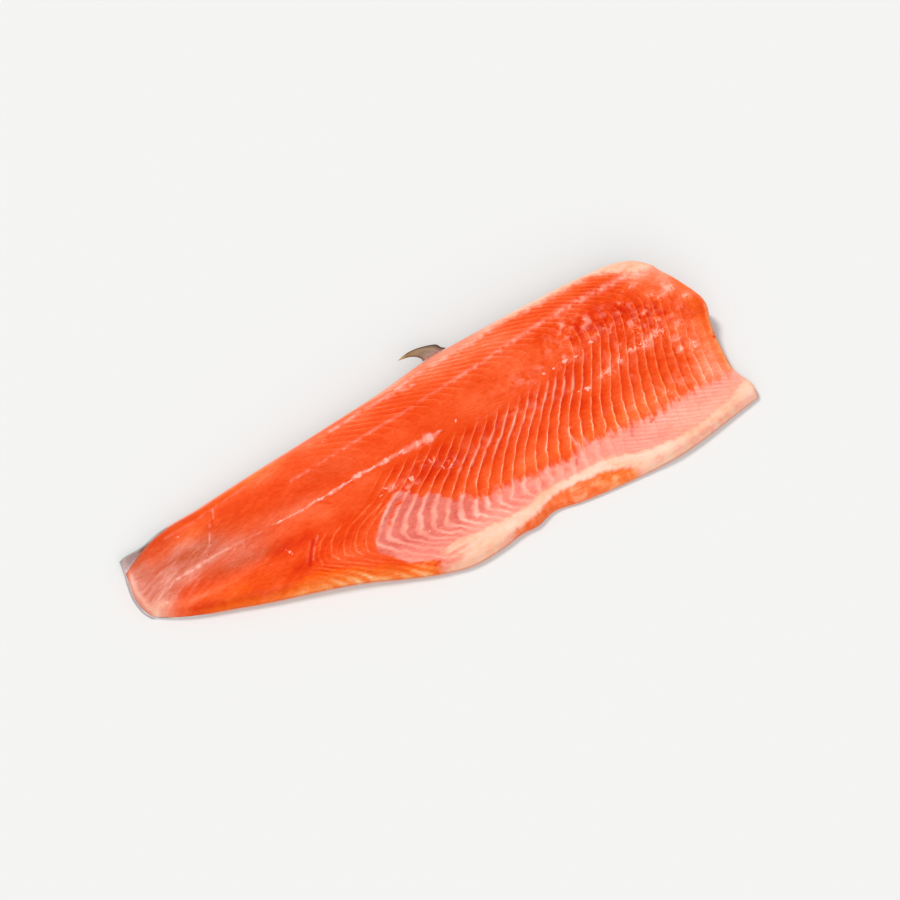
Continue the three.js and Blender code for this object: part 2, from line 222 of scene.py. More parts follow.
# Pale lines and strokes: width, strength, places
PALE_LINES = [
    (0.8, 0.7, [(-170, -6), (-163, -5.5)]),
    (1.4, 0.85, [(-163, -5.5), (-160, -5.2), (-152, -4)]),
    (0.9, 0.6, [(-152, -4), (-146, -3.4), (-137, -2.8)]),
    (0.6, 0.3, [(-140, -2.9), (-115, -2.4)]),
    (0.9, 0.3, [(-86, 19.8), (-70, 21.7), (-55, 23.8), (-40, 25.8), (-30, 27.2), (-18, 28.4)]),
    (1.0, 0.18, [(-18, 28.4), (0, 30.5), (10, 33), (22, 34.3)]),
    (1.1, 0.45, [(22, 34.3), (33, 36), (45, 38), (57, 39.6)]),
    (1.5, 0.5, [(57, 39.6), (72, 43), (90, 46), (105, 48.4)]),
    (2.3, 0.55, [(105, 48.4), (120, 50.8), (140, 53), (156, 54.8), (166, 54)]),
    (0.8, 0.16, [(-166, 21.4), (-150, 22.6), (-140, 24.2), (-130, 26), (-120, 28), (-112, 29.6)]),
    (1.2, 0.6, [(-52, 39.2), (-40, 41), (-30, 42.9), (-20, 44), (-5, 44.4), (5, 43.6)]),
    (1.1, 0.65, [(-5, 46), (8, 49), (20, 51), (30, 52), (50, 53.5), (60, 57), (70, 58.2), (86, 61.5)]),
    (1.2, 0.4, [(-57, -36), (-50, -28), (-43, -20.5), (-38, -18), (-30, -14), (-22, -12)]),
    (0.5, 0.45, [(-146.5, 3), (-145, 4.5), (-141.5, 12), (-139.5, 17)]),
    (0.5, 0.4, [(-136.5, 18), (-134, 25.5)]),
    (0.5, 0.35, [(-95.5, -31.5), (-92, -25.5), (-87, -19.5)]),
    (0.5, 0.12, [(-99.5, -31), (-96, -26), (-92.5, -20.5)]),
    (0.9, 0.5, [(77, -22), (78, -28), (77.5, -38)]),
]
ARC_LINES = [
    [
        (-65, -41), (-64.5, -37), (-61.5, -31), (-58, -28), (-54, -25), (-48, -21.5), (-40, -17.5),
        (-36, -14),
    ],
    [(-69, -41), (-71, -38), (-70, -33), (-66, -28), (-62, -24.5), (-55, -21), (-45, -17)],
    [(-74, -40), (-78, -37), (-76, -31), (-72, -26), (-67, -22), (-60, -19), (-52, -15)],
    [(-82, -38), (-85, -34), (-82, -27), (-78, -23), (-72, -20)],
    [(-92, -37), (-92, -31), (-88, -25), (-83, -21)],
]
DARK_LINES = [
    (0.9, 0.55, [(-98.5, -33.5), (-95, -27), (-90.5, -20.5)]),
    (0.5, 0.25, [(-144, 5), (-142.5, 10), (-141, 13)]),
    (0.5, 0.2, [(-138, 16), (-135.5, 24)]),
    (0.8, 0.25, [(111, -38.5), (112.5, -34), (114, -29.5)]),
    (0.7, 0.6, [(126, -34.3), (128, -33.6)]),
    (0.5, 0.3, [(126.2, -33.5), (127.5, -29)]),
    (0.7, 0.35, [(72, -41), (73.5, -38)]),
    (0.8, 0.6, [(189, -0.5), (190.5, 0.3)]),
    (0.8, 0.4, [(190.5, 2), (193.5, 5.2)]),
    (1.8, 0.3, [(-169, -26), (-160, -28), (-152, -30)]),
    (1.0, 0.3, [(-78, 0), (-72, -4)]),
    (1.4, 0.35, [(-55, 35.6), (-52.5, 36.6)]),
]

# Pale spots, crumbs of membrane and painted glints on the wet tops of the walls: place, half length, half
# width, strength
PALE_SPOTS_AND_GLINTS = [
    (-181, -16.8, 0.8, 0.6, 0.9), (-181, 16.4, 1.2, 1, 0.4), (-159, 18.6, 0.9, 0.7, 0.5),
    (-149, 0, 1.6, 0.9, 0.4), (-144.5, 4.5, 1.4, 1, 0.4), (-133.5, -4.8, 0.9, 0.7, 0.5),
    (-127, -5, 0.9, 1.4, 0.5), (-118.5, -22.8, 0.9, 0.7, 0.6), (-116, -24, 0.7, 0.8, 0.6),
    (-108.5, -17.2, 0.6, 0.6, 0.5), (-107, -10, 1.6, 1, 0.3), (-106.5, -19.2, 0.7, 1, 0.5),
    (-105.5, -22, 0.7, 1.8, 0.5), (-103, -25.4, 0.8, 0.7, 0.5), (-98, 15.5, 1, 0.8, 0.3),
    (-95.5, -24, 0.6, 0.7, 0.4), (-94, -19, 0.8, 0.7, 0.4), (-93, 17.8, 1.2, 0.9, 0.27),
    (-74.5, 19.2, 0.8, 1, 0.42), (-68, 21.8, 1.4, 0.6, 0.36), (-64.5, 19.4, 0.7, 0.5, 0.3),
    (-58, 35, 3.5, 1.2, 0.4), (-56, 19.4, 0.7, 0.8, 0.21), (-46, 19.6, 0.9, 1, 0.24),
    (-43.5, -11.8, 1.1, 0.6, 0.5), (-38, 20.2, 0.7, 1.1, 0.3), (-37.8, -8.8, 0.8, 0.5, 0.9),
    (-31, -10, 1, 0.6, 0.7), (-29, 20.8, 0.7, 1.1, 0.27), (-26, -43, 1, 1.2, 0.6),
    (-22, -9.6, 1, 1.5, 0.9), (-20, 21, 0.8, 1, 0.27), (-12, 22, 1, 0.8, 0.24), (-3.5, 23, 1, 1, 0.21),
    (-0.5, -10, 1.4, 0.7, 0.6), (3, -11, 2, 0.8, 0.55), (3.5, -4.8, 1.6, 0.8, 0.35),
    (5, 23.5, 1, 1.6, 0.3), (6, -2.2, 1, 0.8, 0.4), (7, 12, 1.4, 1.2, 0.28), (8, -11.4, 2, 0.8, 0.4),
    (15, 24.6, 1.1, 1.8, 0.36), (18, 11.8, 1.5, 1, 0.8), (22, 23.4, 1.1, 1.2, 0.27),
    (26, 11.5, 2, 0.9, 0.24), (30, 24, 1.5, 1.2, 0.27), (34, 12.8, 1.5, 0.9, 0.24),
    (43, 14.8, 1.6, 1.2, 0.32), (49, 15.8, 1.4, 1, 0.28), (56, 16, 1.4, 0.9, 0.28),
    (64, 15.4, 1.3, 0.9, 0.35), (71, 16.4, 1.2, 1, 0.35), (79, -18, 1.6, 0.9, 0.5),
    (79.5, 17.8, 1.3, 1, 0.95), (84, -16.5, 2.2, 1.6, 0.2), (87, 18.6, 1.4, 1, 0.7),
    (93, -24, 1.2, 2, 0.3), (95, -0.4, 2, 0.7, 0.5), (95, 19.6, 2.4, 1.1, 0.95), (101, -0.6, 3, 1, 0.8),
    (103, 19.4, 2, 1, 0.7), (108, 21, 2, 1, 0.5), (115, 23.5, 1.8, 1.2, 0.8), (127, 28, 1.6, 1.4, 0.5),
]

# Ragged pale strip along the midline: its places and half width
MIDLINE_STRIP = [
    (-112, -1.8), (-91, -0.8), (-74, 1.2), (-57.5, 3.6), (-50, 5), (-40, 5.6), (-24, 7.2), (-7, 8.3),
    (8, 10),
]
MIDLINE_STRIP_HALF = [
    (-112, 0.1), (-100, 0.5), (-70, 0.8), (-50, 1.1), (-30, 1.2), (-16, 1.7), (-6, 2.7), (3, 1.8),
    (9, 0.1),
]

# Torn pale membrane left on the muscle: place, half length, half width, strength
WEB_PARTS = [
    (-33, -10, 8, 2, 0.8), (-21, -12, 4, 2, 0.5), (-10, -4, 9, 3, 1.3), (2, -9, 8, 2.4, 0.9),
    (30, -6, 20, 6, 0.2), (60, 4, 26, 7, 0.25), (80, -18, 4, 2, 0.3), (80, 20, 22, 5, 0.45),
    (92, 1, 4, 2, 0.5), (100, -0.6, 4.5, 2.2, 0.7), (104, 40, 3, 2, 0.4), (110, 38, 3, 2.4, 0.6),
    (112, -24, 30, 8, 0.15), (116, 5, 8, 4, 1), (118, 37, 5, 2.4, 0.4), (120, 32, 36, 10, 0.5),
    (127, 7, 4.5, 4.5, 1), (129, -5.5, 2, 2.4, 0.4), (133, 41, 5, 2.4, 0.5), (136, 11, 4, 4, 0.95),
    (140, -8, 3, 1.2, 0.4), (143.5, 41, 4, 3, 0.7), (145, 12, 4, 5, 0.95), (150, -22, 20, 8, 0.3),
    (150, 20, 26, 12, 0.4), (155, 47, 6, 3, 0.5), (160, 14, 9, 3, 0.9), (160, 28, 12, 7, 0.4),
    (165, 40, 6, 4, 0.6), (166, -12, 3, 1.4, 0.4), (170, 8, 14, 24, 0.25), (172, 2, 9, 4.5, 0.8),
    (176.5, 36, 4, 4, 0.7), (184, 28, 5, 3, 0.5),
]

# Lighter and darker parts of the flesh: place, half length, half width, change of tone
TONE_PARTS = [
    (-192, 0, 3.5, 16, 0.12), (-186, -17, 8, 5, 0.36), (-178, 10, 14, 7, 0.15), (-177, -4, 8, 3, 0.1),
    (-175, 23, 9, 4, -0.16), (-170, 15, 20, 8, -0.2), (-168, 1, 10, 2, 0.16), (-165, -4, 18, 6, 0.1),
    (-165, 17, 16, 6, 0.12), (-165, 19, 18, 6, -0.14), (-160, -22, 18, 2, 0.24), (-158, 13, 14, 7, 0.14),
    (-157, 11, 10, 6, 0.24), (-155, 4, 24, 5, -0.12), (-152, 20, 12, 5, 0.14), (-150, -14, 13, 3, -0.12),
    (-145, 14, 20, 8, -0.1), (-139, -2, 13, 8, 0.17), (-138, -32, 20, 4, -0.06), (-136, 14, 8, 6, 0.05),
    (-128, 8, 12, 6, 0.09), (-125, 12, 18, 7, -0.08), (-125, 12, 20, 9, 0.08), (-125, 12, 20, 10, -0.06),
    (-110, 8, 40, 10, -0.08), (-105, -17, 25, 4.5, -0.17), (-105, 30, 14, 4, 0.02),
    (-105, 30, 14, 5, 0.2), (-100, -32, 13, 4, -0.2), (-100, 20, 22, 6, -0.05), (-90, 3, 35, 8, 0.1),
    (-75, -45, 18, 4, 0.14), (-75, -24, 26, 8, -0.12), (-75, -10, 20, 6, 0.04), (-72, 38, 32, 5, 0.2),
    (-71, -31, 8, 5, -0.12), (-65, 15, 20, 8, -0.05), (-60, -5, 25, 5, 0.06), (-45, 40, 30, 4, 0.09),
    (-45, 46.5, 18, 2, 0.12), (-44, 0, 10, 5, 0.09), (-40, -36, 16, 8, -0.05), (-30, -62, 3.5, 3, -0.25),
    (-30, 10, 170, 30, -0.03), (-26, -50, 14, 4, 0.08), (-25, 49, 20, 3, 0.15), (-15, 49, 20, 5, 0.12),
    (-12, -13, 25, 4, -0.1), (-12, 51, 12, 4, 0.16), (-4, -6, 26, 7, -0.14), (0, -22, 8, 5, -0.12),
    (2, -25, 13, 7, 0.14), (10, -28, 7, 4, -0.1), (25, 2, 28, 6, -0.1), (25, 41, 32, 6, 0.06),
    (35, 50, 60, 6, 0.18), (40, -10, 30, 6, -0.05), (40, 46, 60, 4, 0.07), (45, -20, 40, 12, 0.05),
    (55, -20, 34, 12, 0.09), (60, 20, 60, 12, 0.04), (60, 26, 25, 6, 0.05), (62, -28, 55, 6, 0.1),
    (64, 0, 18, 5, 0.1), (68, 29, 16, 6, 0.14), (75, 6, 25, 6, -0.1), (85, 36, 10, 5, -0.1),
    (100, -8, 12, 5, -0.06), (100, 13, 18, 5, -0.06), (112, 60, 34, 5, 0.22), (118, -25, 34, 7, 0.12),
    (118, 35, 20, 8, -0.19), (128, 0, 60, 60, -0.02), (130, -5, 20, 6, -0.04), (130, 2, 24, 8, 0.06),
    (135, -18, 22, 9, 0.1), (138, 57, 16, 4, -0.13), (139, 10, 8, 5, -0.12), (140, 38, 15, 9, -0.14),
    (149, -12, 6, 9, -0.08), (153, 27, 22, 8, -0.1), (155, 28, 10, 5, -0.1), (164, 62, 8, 8, 0.2),
    (165, 50, 10, 6, 0.1), (167, 12, 10, 8, 0.16), (168, 53, 12, 4, 0.3), (172, -12, 9, 12, 0.14),
    (172, 43, 10, 10, 0.24), (173, -23, 14, 9, 0.24), (175, -5, 12, 18, 0.1), (176, 36, 12, 16, -0.12),
    (179, 46, 6, 12, 0.3), (181, 20, 9, 8, -0.2), (183, 0, 9, 50, 0.26), (183, 10, 8, 20, -0.08),
    (187, 28, 4, 10, 0.12), (192, -1, 6, 15, -0.08),
]

# Orange tissue, hazy tissue with a painted sheen, red spots in the membrane and orange spots in the fat:
# place, half length, half width, amount
ORANGE_PARTS = [
    (-176, 18, 13, 8, 0.9), (-152, 15, 20, 7, 0.85), (-140, -30, 26, 6, 0.75), (-125, 12, 22, 11, 0.65),
    (-100, -42, 14, 4, 0.6), (-100, 36, 18, 4, 0.35), (-45, 47, 25, 2.5, 0.6), (0, 55, 12, 3, 0.4),
    (60, -29, 50, 6, 0.35), (75, 60, 14, 3, 0.3), (112, -23, 34, 9, 0.45), (138, 57, 16, 4, 0.3),
    (148, -14, 8, 10, 0.4), (150, 46, 14, 5, 0.35), (167, 0, 20, 30, 0.15), (187, 18, 5, 22, 0.6),
    (190, -15, 4, 22, 0.5),
]
HAZE_AND_SHEEN_PARTS = [
    (-192, -2, 5, 14, 0.4), (-188, 19, 6, 4, 0.7), (-187, 9, 7, 9, 0.55), (-184, 22, 8, 3, 0.6),
    (-182, -11, 10, 8, 0.85), (-170, 17, 18, 7, 0.2), (-165, 0, 28, 12, 1), (-150, 5, 18, 7, 0.25),
    (-145, 5, 18, 8, 0.15), (-131, -14, 20, 4.5, 0.65), (-127, -5, 18, 5, 0.4), (-100, 3, 26, 7, 0.22),
    (-65, 15, 20, 8, 0.15),
]
RED_SPOTS = [
    (-57, -47, 3, 2, 0.5), (-46, -29.5, 1.2, 2, 0.7), (-43.2, -26.3, 1.8, 1.4, 0.9),
    (-41.5, -24.6, 1.3, 1.3, 0.8), (-39.5, -22.8, 1.8, 1.4, 0.9), (-35.5, -19.8, 4, 1.8, 0.95),
    (-2, -31, 2, 2, 0.5), (16, -42, 2, 1.6, 0.3), (22, -46, 2, 1.4, 0.3), (22, -37, 2.2, 2, 0.5),
    (32, -45, 2.4, 1.6, 0.35), (40, -44, 2, 1.6, 0.35), (48, -42, 2, 2, 0.4), (57, -40, 2, 1.8, 0.4),
    (65, -41, 1.8, 1.6, 0.35), (84, -40, 1.2, 3, 0.2), (92, -39, 1.4, 2.4, 0.2),
]
FAT_SPOTS = [
    (-11, -63.5, 2, 0.9, 0.35), (24, -58, 1, 1.4, 0.2), (118, -58.5, 3, 1.2, 0.8),
    (131, -57.5, 2.6, 1.3, 0.7), (143, -56.5, 2.4, 1.4, 0.6), (150, -54.5, 2, 1.2, 0.6),
    (157, -53.5, 2.2, 1.3, 0.7), (165, -52, 2, 1.2, 0.8), (171, -50.5, 2, 1, 0.6),
    (180, -47.5, 4, 1.5, 0.7), (188, -46, 3, 1.4, 0.5),
]

# Fat at the corners, fine mesh in the muscle, pale wisps at the tail and torn membrane: as above
FAT_CORNERS = [(167, 62, 9, 9, 1), (160, 58, 5, 4, 0.3), (-186, -17, 7, 4, 0.7)]
MESH_PARTS = [(120, 32, 45, 12, 1), (160, 10, 22, 26, 0.9), (60, 22, 30, 7, 0.6)]
WISP_PARTS = [(-176, -8, 15, 8, 0.4), (-183, -13, 8, 5, 0.3), (-160, 3, 14, 4, 0.2)]
TORN_PARTS = [(-10, -4, 9, 3.5, 1), (2, -9, 8, 3, 0.6), (-33, -10, 9, 2, 0.5)]

# Where marks lie from the tail to the head: start, full, fade, end
SPANS = {
    "orange strip": (0, 24, 100, 110),
    "belly rim": (-40, -24, 4, 14),
    "tail belly": (-172, -158, -32, -26),
    "tail back": (-184, -172, -110, -70),
    "belly bands": (-60, -20, 155, 198),
    "high bands": (85, 110, 165, 185),
    "membrane lines": (95, 112, 178, 188),
    "fat ridge": (-10, 20, 110, 150),
    "tail lines": (-105, -88, -34, -26),
    "midline strip": (-112, -104, 6, 10),
    "feathers": (-5, 12, 92, 104),
    "back relief": (-60, 0, 150, 188),
    "deep groove": (-140, -80, 2, 20),
    "beads": (-150, -120, 4, 14),
}

# What grows along the fillet: where it starts and where it is full, towards the tail where the numbers fall
ALONG = {
    "wavering walls": (-70, -50),
    "long fingers": (-12, 34),
    "thin fat": (112, 160),
    "back fat": (-70, 0),
    "strong back fat": (40, 90),
    "back fat ends": (172, 182),
    "orange strip": (70, 90),
    "red lines": (60, 70),
    "weak bands": (90, 165),
    "weak bars": (10, 60),
    "bars end": (75, 105),
    "tail streaks": (-60, -120),
    "tail back rim": (-150, -168),
    "light membrane": (-25, 50),
    "low light membrane": (40, 0),
    "light tail belly": (-130, -90),
    "painted sheen on back rim": (-165, -120),
    "painted light on tail belly rim": (-20, -40),
    "cavity step": (-60, -48),
}

# What grows down across the fillet, from the back to the belly
DOWN = {
    "wavering walls": (-30, -46),
    "slanting end": (-42, -50),
    "weak bands": (-20, -32),
    "weak bars": (-44, -52),
    "low light membrane": (-42, -52),
}

# Random patches: length, width, seed, and the tilt in degrees of those that are drawn out
PATCHES = {
    "wall drift": (9, 6, 61), "wall jitter": (3, 2.4, 62),
    "ragged": (2.6, 2.6, 1), "fine ragged": (1.1, 1.1, 2),
    "fingers": (9, 1.5, 81, 78), "fine fingers": (4, 0.9, 82, 84),
    "streaks": (9, 1.6, 5, 24), "fine streaks": (4, 0.9, 6, 30),
    "mesh": (3.4, 2.6, 21), "fine mesh": (1.7, 1.5, 22),
    "broad": (16, 9, 23), "less broad": (7, 5, 24),
    "fat end": (9, 1.8, 83, 8), "tail rim": (6, 4, 95), "band strength": (7, 4, 11),
    "membrane line bends": (14, 5, 73), "membrane line strength": (12, 4, 74),
    "tail line bends": (14, 7, 71), "tail line strength": (9, 4, 72),
    "crumb shift along": (1.9, 1.9, 45), "crumb shift across": (2.1, 2.1, 46),
    "strip width": (3.1, 30, 44), "strip crumbs": (2.3, 30, 47),
    "feathers": (3.5, 1, 41, 50), "torn threads": (1.6, 0.8, 43, 18),
    "web": (5, 3.6, 92), "web holes": (4, 2.6, 93), "web threads": (2.6, 1.5, 94, 40),
    "beads": (3, 3, 52), "torn relief": (1.8, 1.2, 51),
}

# Tones, from 0, the darkest, to 1, the lightest
MUSCLE_TONE = 0.44
MEMBRANE_TONE = 0.46
FAT_TONE = 0.5
STRIP_TONE = 0.7
HEAD_RIM_LIT_TONE = 0.95
TAIL_RIM_TONE = 0.66
TAIL_BACK_RIM_TONE = 0.3
CUT_FACE_TONE = 0.42
BROAD_TONE = 0.17
MESH_TONE = 0.3
STREAK_TONE = 0.09
LINE_TONE = 0.16
ARC_TONE = 0.27
DARK_TONE = 0.5

# Fine lines: their width and spacing
ARC_WIDTH = 0.55
LINE_SPACING = 2.7
TAIL_LINE_SPACING = 2.4

# How far the tone swings across a band below the midline, and elsewhere: strength, where from tail to head,
# and how far below the midline it starts and is full, with less than 0 above it
BELLY_SWING = 0.56
FAINT_BANDS = [
    (0.2, (-75, -30, 165, 190), -14, -24),
    (0.08, (-120, -60, 150, 175), -8, -14),
    (0.12, (-108, -90, -60, -40), 12, 22),
]

# ---------------------------------------------------------------- grid of the fine surface
ROW_STEPS = 640
COLUMN_STEPS = 188
END_STEPS = 6
BELLY_STEPS = 8
BACK_STEPS = 12
PATCH_LENGTH = 389
BELLY_ZONE = 0.06
BACK_ZONE = 0.11
UNDERSIDE_STEP = 4
SKIN_ROWS = 240
SKIN_COLUMNS = 56


# ---------------------------------------------------------------- small functions of fields
def ease(start, end, x):
    """0 at the first value and 1 at the second, smooth between them and level beyond."""
    t = np.clip((x - start) / (end - start), 0, 1)
    return t * t * (3 - 2 * t)


def fade(full, end, x):
    """1 at the first value and 0 at the second."""
    return 1 - ease(full, end, x)


def between(x, start, full, fades, end):
    return ease(start, full, x) * fade(fades, end, x)


def bell(distance, width):
    return np.exp(-((distance / width) ** 2))


def rounded(distance, radius):
    """Quarter circle: 0 at an edge, 1 from the given distance inwards."""
    return np.sqrt(1 - (1 - np.clip(distance / radius, 0, 1)) ** 2)


def mix(a, b, t):
    return a + (b - a) * t


def curve(points, at):
    """Smooth curve through points whose first number rises, level beyond its ends."""
    knots, values = np.array(points, float).T
    step = np.diff(knots)
    rise = np.diff(values) / step
    slope = np.concatenate([
        rise[:1],
        (rise[:-1] * step[1:] + rise[1:] * step[:-1]) / (step[:-1] + step[1:]),
        rise[-1:],
    ])
    x = np.clip(at, knots[0], knots[-1])
    k = np.clip(np.searchsorted(knots, x, side="right") - 1, 0, len(step) - 1)
    t = (x - knots[k]) / step[k]
    ends = (2 * t - 3) * t * t
    bend = step[k] * (t * (1 - t) ** 2 * slope[k] - t * t * (1 - t) * slope[k + 1])
    return values[k] * (1 + ends) - values[k + 1] * ends + bend


def lattice(i, j, seed):
    """A fixed random number from 0 to 1 at each whole-number place."""
    mixed = np.sin(i * 127.1 + j * 311.7 + seed * 74.7) * 43758.5453
    return mixed - np.floor(mixed)


def cloud(x, y, length, width, seed, tilt=0):
    """Soft random patches of a size in mm, from 0 to 1, their length at a tilt in degrees from +X."""
    turn = math.radians(tilt)
    x, y = x * math.cos(turn) + y * math.sin(turn), y * math.cos(turn) - x * math.sin(turn)
    x, y = x / length, y / width
    i, j = np.floor(x), np.floor(y)
    a, b = ease(0, 1, x - i), ease(0, 1, y - j)
    low = mix(lattice(i, j, seed), lattice(i + 1, j, seed), a)
    high = mix(lattice(i, j + 1, seed), lattice(i + 1, j + 1, seed), a)
    return mix(low, high, b)


def strokes(x, y, width, line):
    """1 on a line through the given places, 0 away from it."""
    share = np.zeros(x.shape)
    for (ax, ay), (bx, by) in zip(line[:-1], line[1:]):
        dx, dy = bx - ax, by - ay
        t = np.clip(((x - ax) * dx + (y - ay) * dy) / (dx * dx + dy * dy), 0, 1)
        share = np.maximum(share, bell(np.hypot(x - ax - t * dx, y - ay - t * dy), width))
    return share


def parts(x, y, listed):
    """Sum of soft oval parts."""
    total = np.zeros(x.shape)
    for at_x, at_y, half_x, half_y, amount in listed:
        total += amount * np.exp(-(((x - at_x) / half_x) ** 2) - ((y - at_y) / half_y) ** 2)
    return total


# ---------------------------------------------------------------- form of the fillet
def along(edge, t):
    x = mix(edge[0][0], edge[-1][0], t)
    return np.stack([x, curve(edge, x)], -1)


def across(cut, t):
    y = mix(cut[0][0], cut[-1][0], t)
    return np.stack([curve(cut, y), y], -1)


def plan_grid(us, vs):
    """Places in plan, blended from the four edges of the flesh."""
    u = us[:, None, None]
    v = vs[None, :, None]
    ends = np.array([0.0, 1.0])
    belly, back = along(BELLY_EDGE, us)[:, None], along(BACK_EDGE, us)[:, None]
    tail, head = across(TAIL_CUT, vs)[None], across(HEAD_CUT, vs)[None]
    low, high = along(BELLY_EDGE, ends), along(BACK_EDGE, ends)
    corners = mix(mix(low[0], high[0], v), mix(low[1], high[1], v), u)
    plan = mix(belly, back, v) + mix(tail, head, u) - corners
    inwards = high[1] - np.array(ROUNDED_CORNER_CENTRE)
    reach = np.hypot(*(plan - high[1]).T).T[..., None]
    plan = plan - CORNER_PULL * np.exp(-reach / CORNER_PULL_REACH) * inwards / np.hypot(*inwards)
    return plan[..., 0], plan[..., 1]


def loin_thickness(x):
    headwards = np.clip((x - THICKEST_X) / (HEAD_END_X - THICKEST_X), 0, None)
    tailwards = np.clip((THICKEST_X - x) / (THICKEST_X - TAIL_END_X), 0, None)
    return (
        LOIN_THICKNESS
        - (LOIN_THICKNESS - HEAD_THICKNESS) * headwards ** 2
        - (LOIN_THICKNESS - TAIL_THICKNESS) * tailwards ** 1.5
    )


def wrap_radius(x):
    return BACK_WRAP_SHARE * loin_thickness(x) - SKIN_LEVEL


def under_height(x, y):
    radius = wrap_radius(x)
    return SKIN_LEVEL + radius * (1 - rounded(curve(BACK_EDGE, x) - y, radius))


def wall_count(x, y):
    """Counts the walls between muscle bands: whole at a wall, rising towards the head."""
    middle = curve(MIDLINE, x)
    below = np.clip(middle - y, 0, None)
    turn = middle - curve(WALL_TURN_Y, x)
    past = WALL_TURN_SOFTNESS * np.log1p(np.exp((below - turn) / WALL_TURN_SOFTNESS))
    share = curve(WALL_COURSE, np.clip(below - past, 0, None))
    meets = x
    for _ in range(WALL_ROUNDS):
        meets = x + curve(WALL_REACH, meets) * share
    above = np.clip(y - middle, 0, None)
    start = np.log1p(np.exp(-BACK_TURN / BACK_TURN_SOFTNESS))
    turned = BACK_TURN_SOFTNESS * (np.log1p(np.exp((above - BACK_TURN) / BACK_TURN_SOFTNESS)) - start)
    high = BACK_LEAN * (above - turned) + curve(BACK_SLOPE, x) * turned
    return curve(WALL_COUNT, meets - WALL_TURN_SLOPE * past + high)


class Face:
    """The cut face: places, distances to the edges and the share of every zone at each place."""

    def __init__(self, x, y):
        self.x, self.y = x, y
        belly, back = curve(BELLY_EDGE, x), curve(BACK_EDGE, x)
        self.to_belly = y - belly
        self.to_back = back - y
        self.to_tail = x - curve(TAIL_CUT, y)
        self.to_head = curve(HEAD_CUT, y) - x
        self.share = np.clip((y - belly) / (back - belly), 0, 1)
        self.below = curve(MIDLINE, x) - y
        wavering = self.down("wavering walls") * self.along("wavering walls")
        self.wall = wall_count(x, y) + mix(0.18, 0.5, wavering) * (self.patches("wall drift") - 0.5)
        self.wall += mix(0.1, 0.3, wavering) * (self.patches("wall jitter") - 0.5)
        self.band = self.wall - np.floor(self.wall)
        self.ragged = self.patches("ragged") - 0.5 + 0.6 * (self.patches("fine ragged") - 0.5)
        self.streaks = self.fine_and_coarse("streaks")
        self.find_tissues()
        self.find_marks()

    def patches(self, name):
        return cloud(self.x, self.y, *PATCHES[name])

    def fine_and_coarse(self, name):
        """Random patches of two sizes together, from -0.8 to 0.8."""
        return self.patches(name) + 0.6 * self.patches("fine " + name) - 0.8

    def along(self, name):
        return ease(*ALONG[name], self.x)

    def down(self, name):
        return ease(*DOWN[name], self.y)

    def span(self, name):
        return between(self.x, *SPANS[name])

    def waves(self, along_x, along_y, wavering, bends, spacing):
        """Fine lines that waver, from -1 to 1, at a spacing along the given direction."""
        way = self.x * along_x + self.y * along_y + wavering * self.patches(bends)
        return np.cos(2 * np.pi * way / spacing)

    def drawn(self, lines, shift):
        """The strongest of the lines at each place."""
        y = self.y + shift * self.ragged
        return np.maximum.reduce([
            strength * strokes(self.x, y, width, line) for width, strength, line in lines
        ])

    def find_tissues(self):
        """Shares, from 0 to 1, of membrane, fat, orange tissue, hazy tissue with painted sheen, and of the
        rims of the face.
        """
        x, y, ragged = self.x, self.y, self.ragged
        cavity_top, self.belly_top = curve(CAVITY_TOP, x), curve(TAIL_BELLY_TOP, x)

        # The membrane of the belly cavity ends in torn fingers, long towards the head.
        headwards = self.along("long fingers")
        torn_top = cavity_top + mix(2.6, 1, headwards) * (self.band - 0.5) + 2.6 * ragged
        torn_top += mix(0.5, 4.5, headwards) * self.fine_and_coarse("fingers")
        soft = mix(1, 3.2, headwards)
        slant = 0.9 * (y - DOWN["slanting end"][0]) * self.down("slanting end")
        cavity = ease(-soft, soft, torn_top - y) * ease(-61, -58, x + slant + ragged)
        cavity *= 1 - ease(0, 2, self.belly_top + 1.5 * ragged - y) * fade(-32, -26, x + 3 * ragged)
        self.cavity = np.clip(cavity - parts(x, y, RED_SPOTS) * (0.7 + ragged), 0, 1)

        # The rims: the flesh is paler or darker where it was cut, and the pale head rim also holds painted
        # light against the shade on its rounding.
        self.head_rim = fade(1.5, 6, self.to_head + 1.5 * ragged) * ease(0.3, 1.4, self.to_head)
        self.tail_rim = fade(1.5, 5, self.to_tail + 1.5 * ragged) * fade(3, 18, y + 8 * ragged)
        self.tail_rim *= mix(0.35, 1, ease(0.2, 1.6, self.to_tail + 0.8 * ragged))
        self.tail_rim *= 0.7 + 0.5 * self.patches("tail rim")
        self.tail_back_rim = fade(1.5, 4.5, self.to_back + ragged) * self.along("tail back rim")
        belly_rim = self.span("belly rim") * fade(1, 3.5, self.to_belly + ragged)

        # Fat: along the belly, thin above it near the head, along the back, and at the corners.
        tail_end = ease(-32, -8, x + 6 * ragged + 22 * (self.patches("fat end") - 0.5))
        fat = ease(-2, 1.5, curve(FAT_TOP, x) + 1.6 * ragged - y) * tail_end
        thin_fat = self.along("thin fat") * ease(-2, 10, cavity_top - 4 - y + 5 * ragged)
        fat = np.maximum(fat, 0.42 * thin_fat)
        back_fat = ease(-2.5, 4.5, y - curve(BACK_FAT, x) + 3 * ragged)
        back_fat *= mix(0.35, 1, self.along("strong back fat")) * self.along("back fat")
        back_fat *= 1 - 0.6 * self.along("back fat ends")
        fat += back_fat + parts(x, y, FAT_CORNERS) * (0.8 + 0.8 * ragged)
        self.strip = ease(-0.8, 1.6, curve(FAT_FOOT, x) - y + 1.6 * ragged) * self.span("orange strip")
        self.spots = np.clip(parts(x, y, FAT_SPOTS) * (1.9 + 2.2 * ragged), 0, 1)
        fat = np.clip(fat + 0.12 * self.head_rim + 0.4 * self.tail_rim, 0, 1) * (1 - self.strip)
        self.fat = fat * mix(0.3, 1, ease(0.3, 1.6, self.to_head)) * (1 - 0.8 * self.spots)

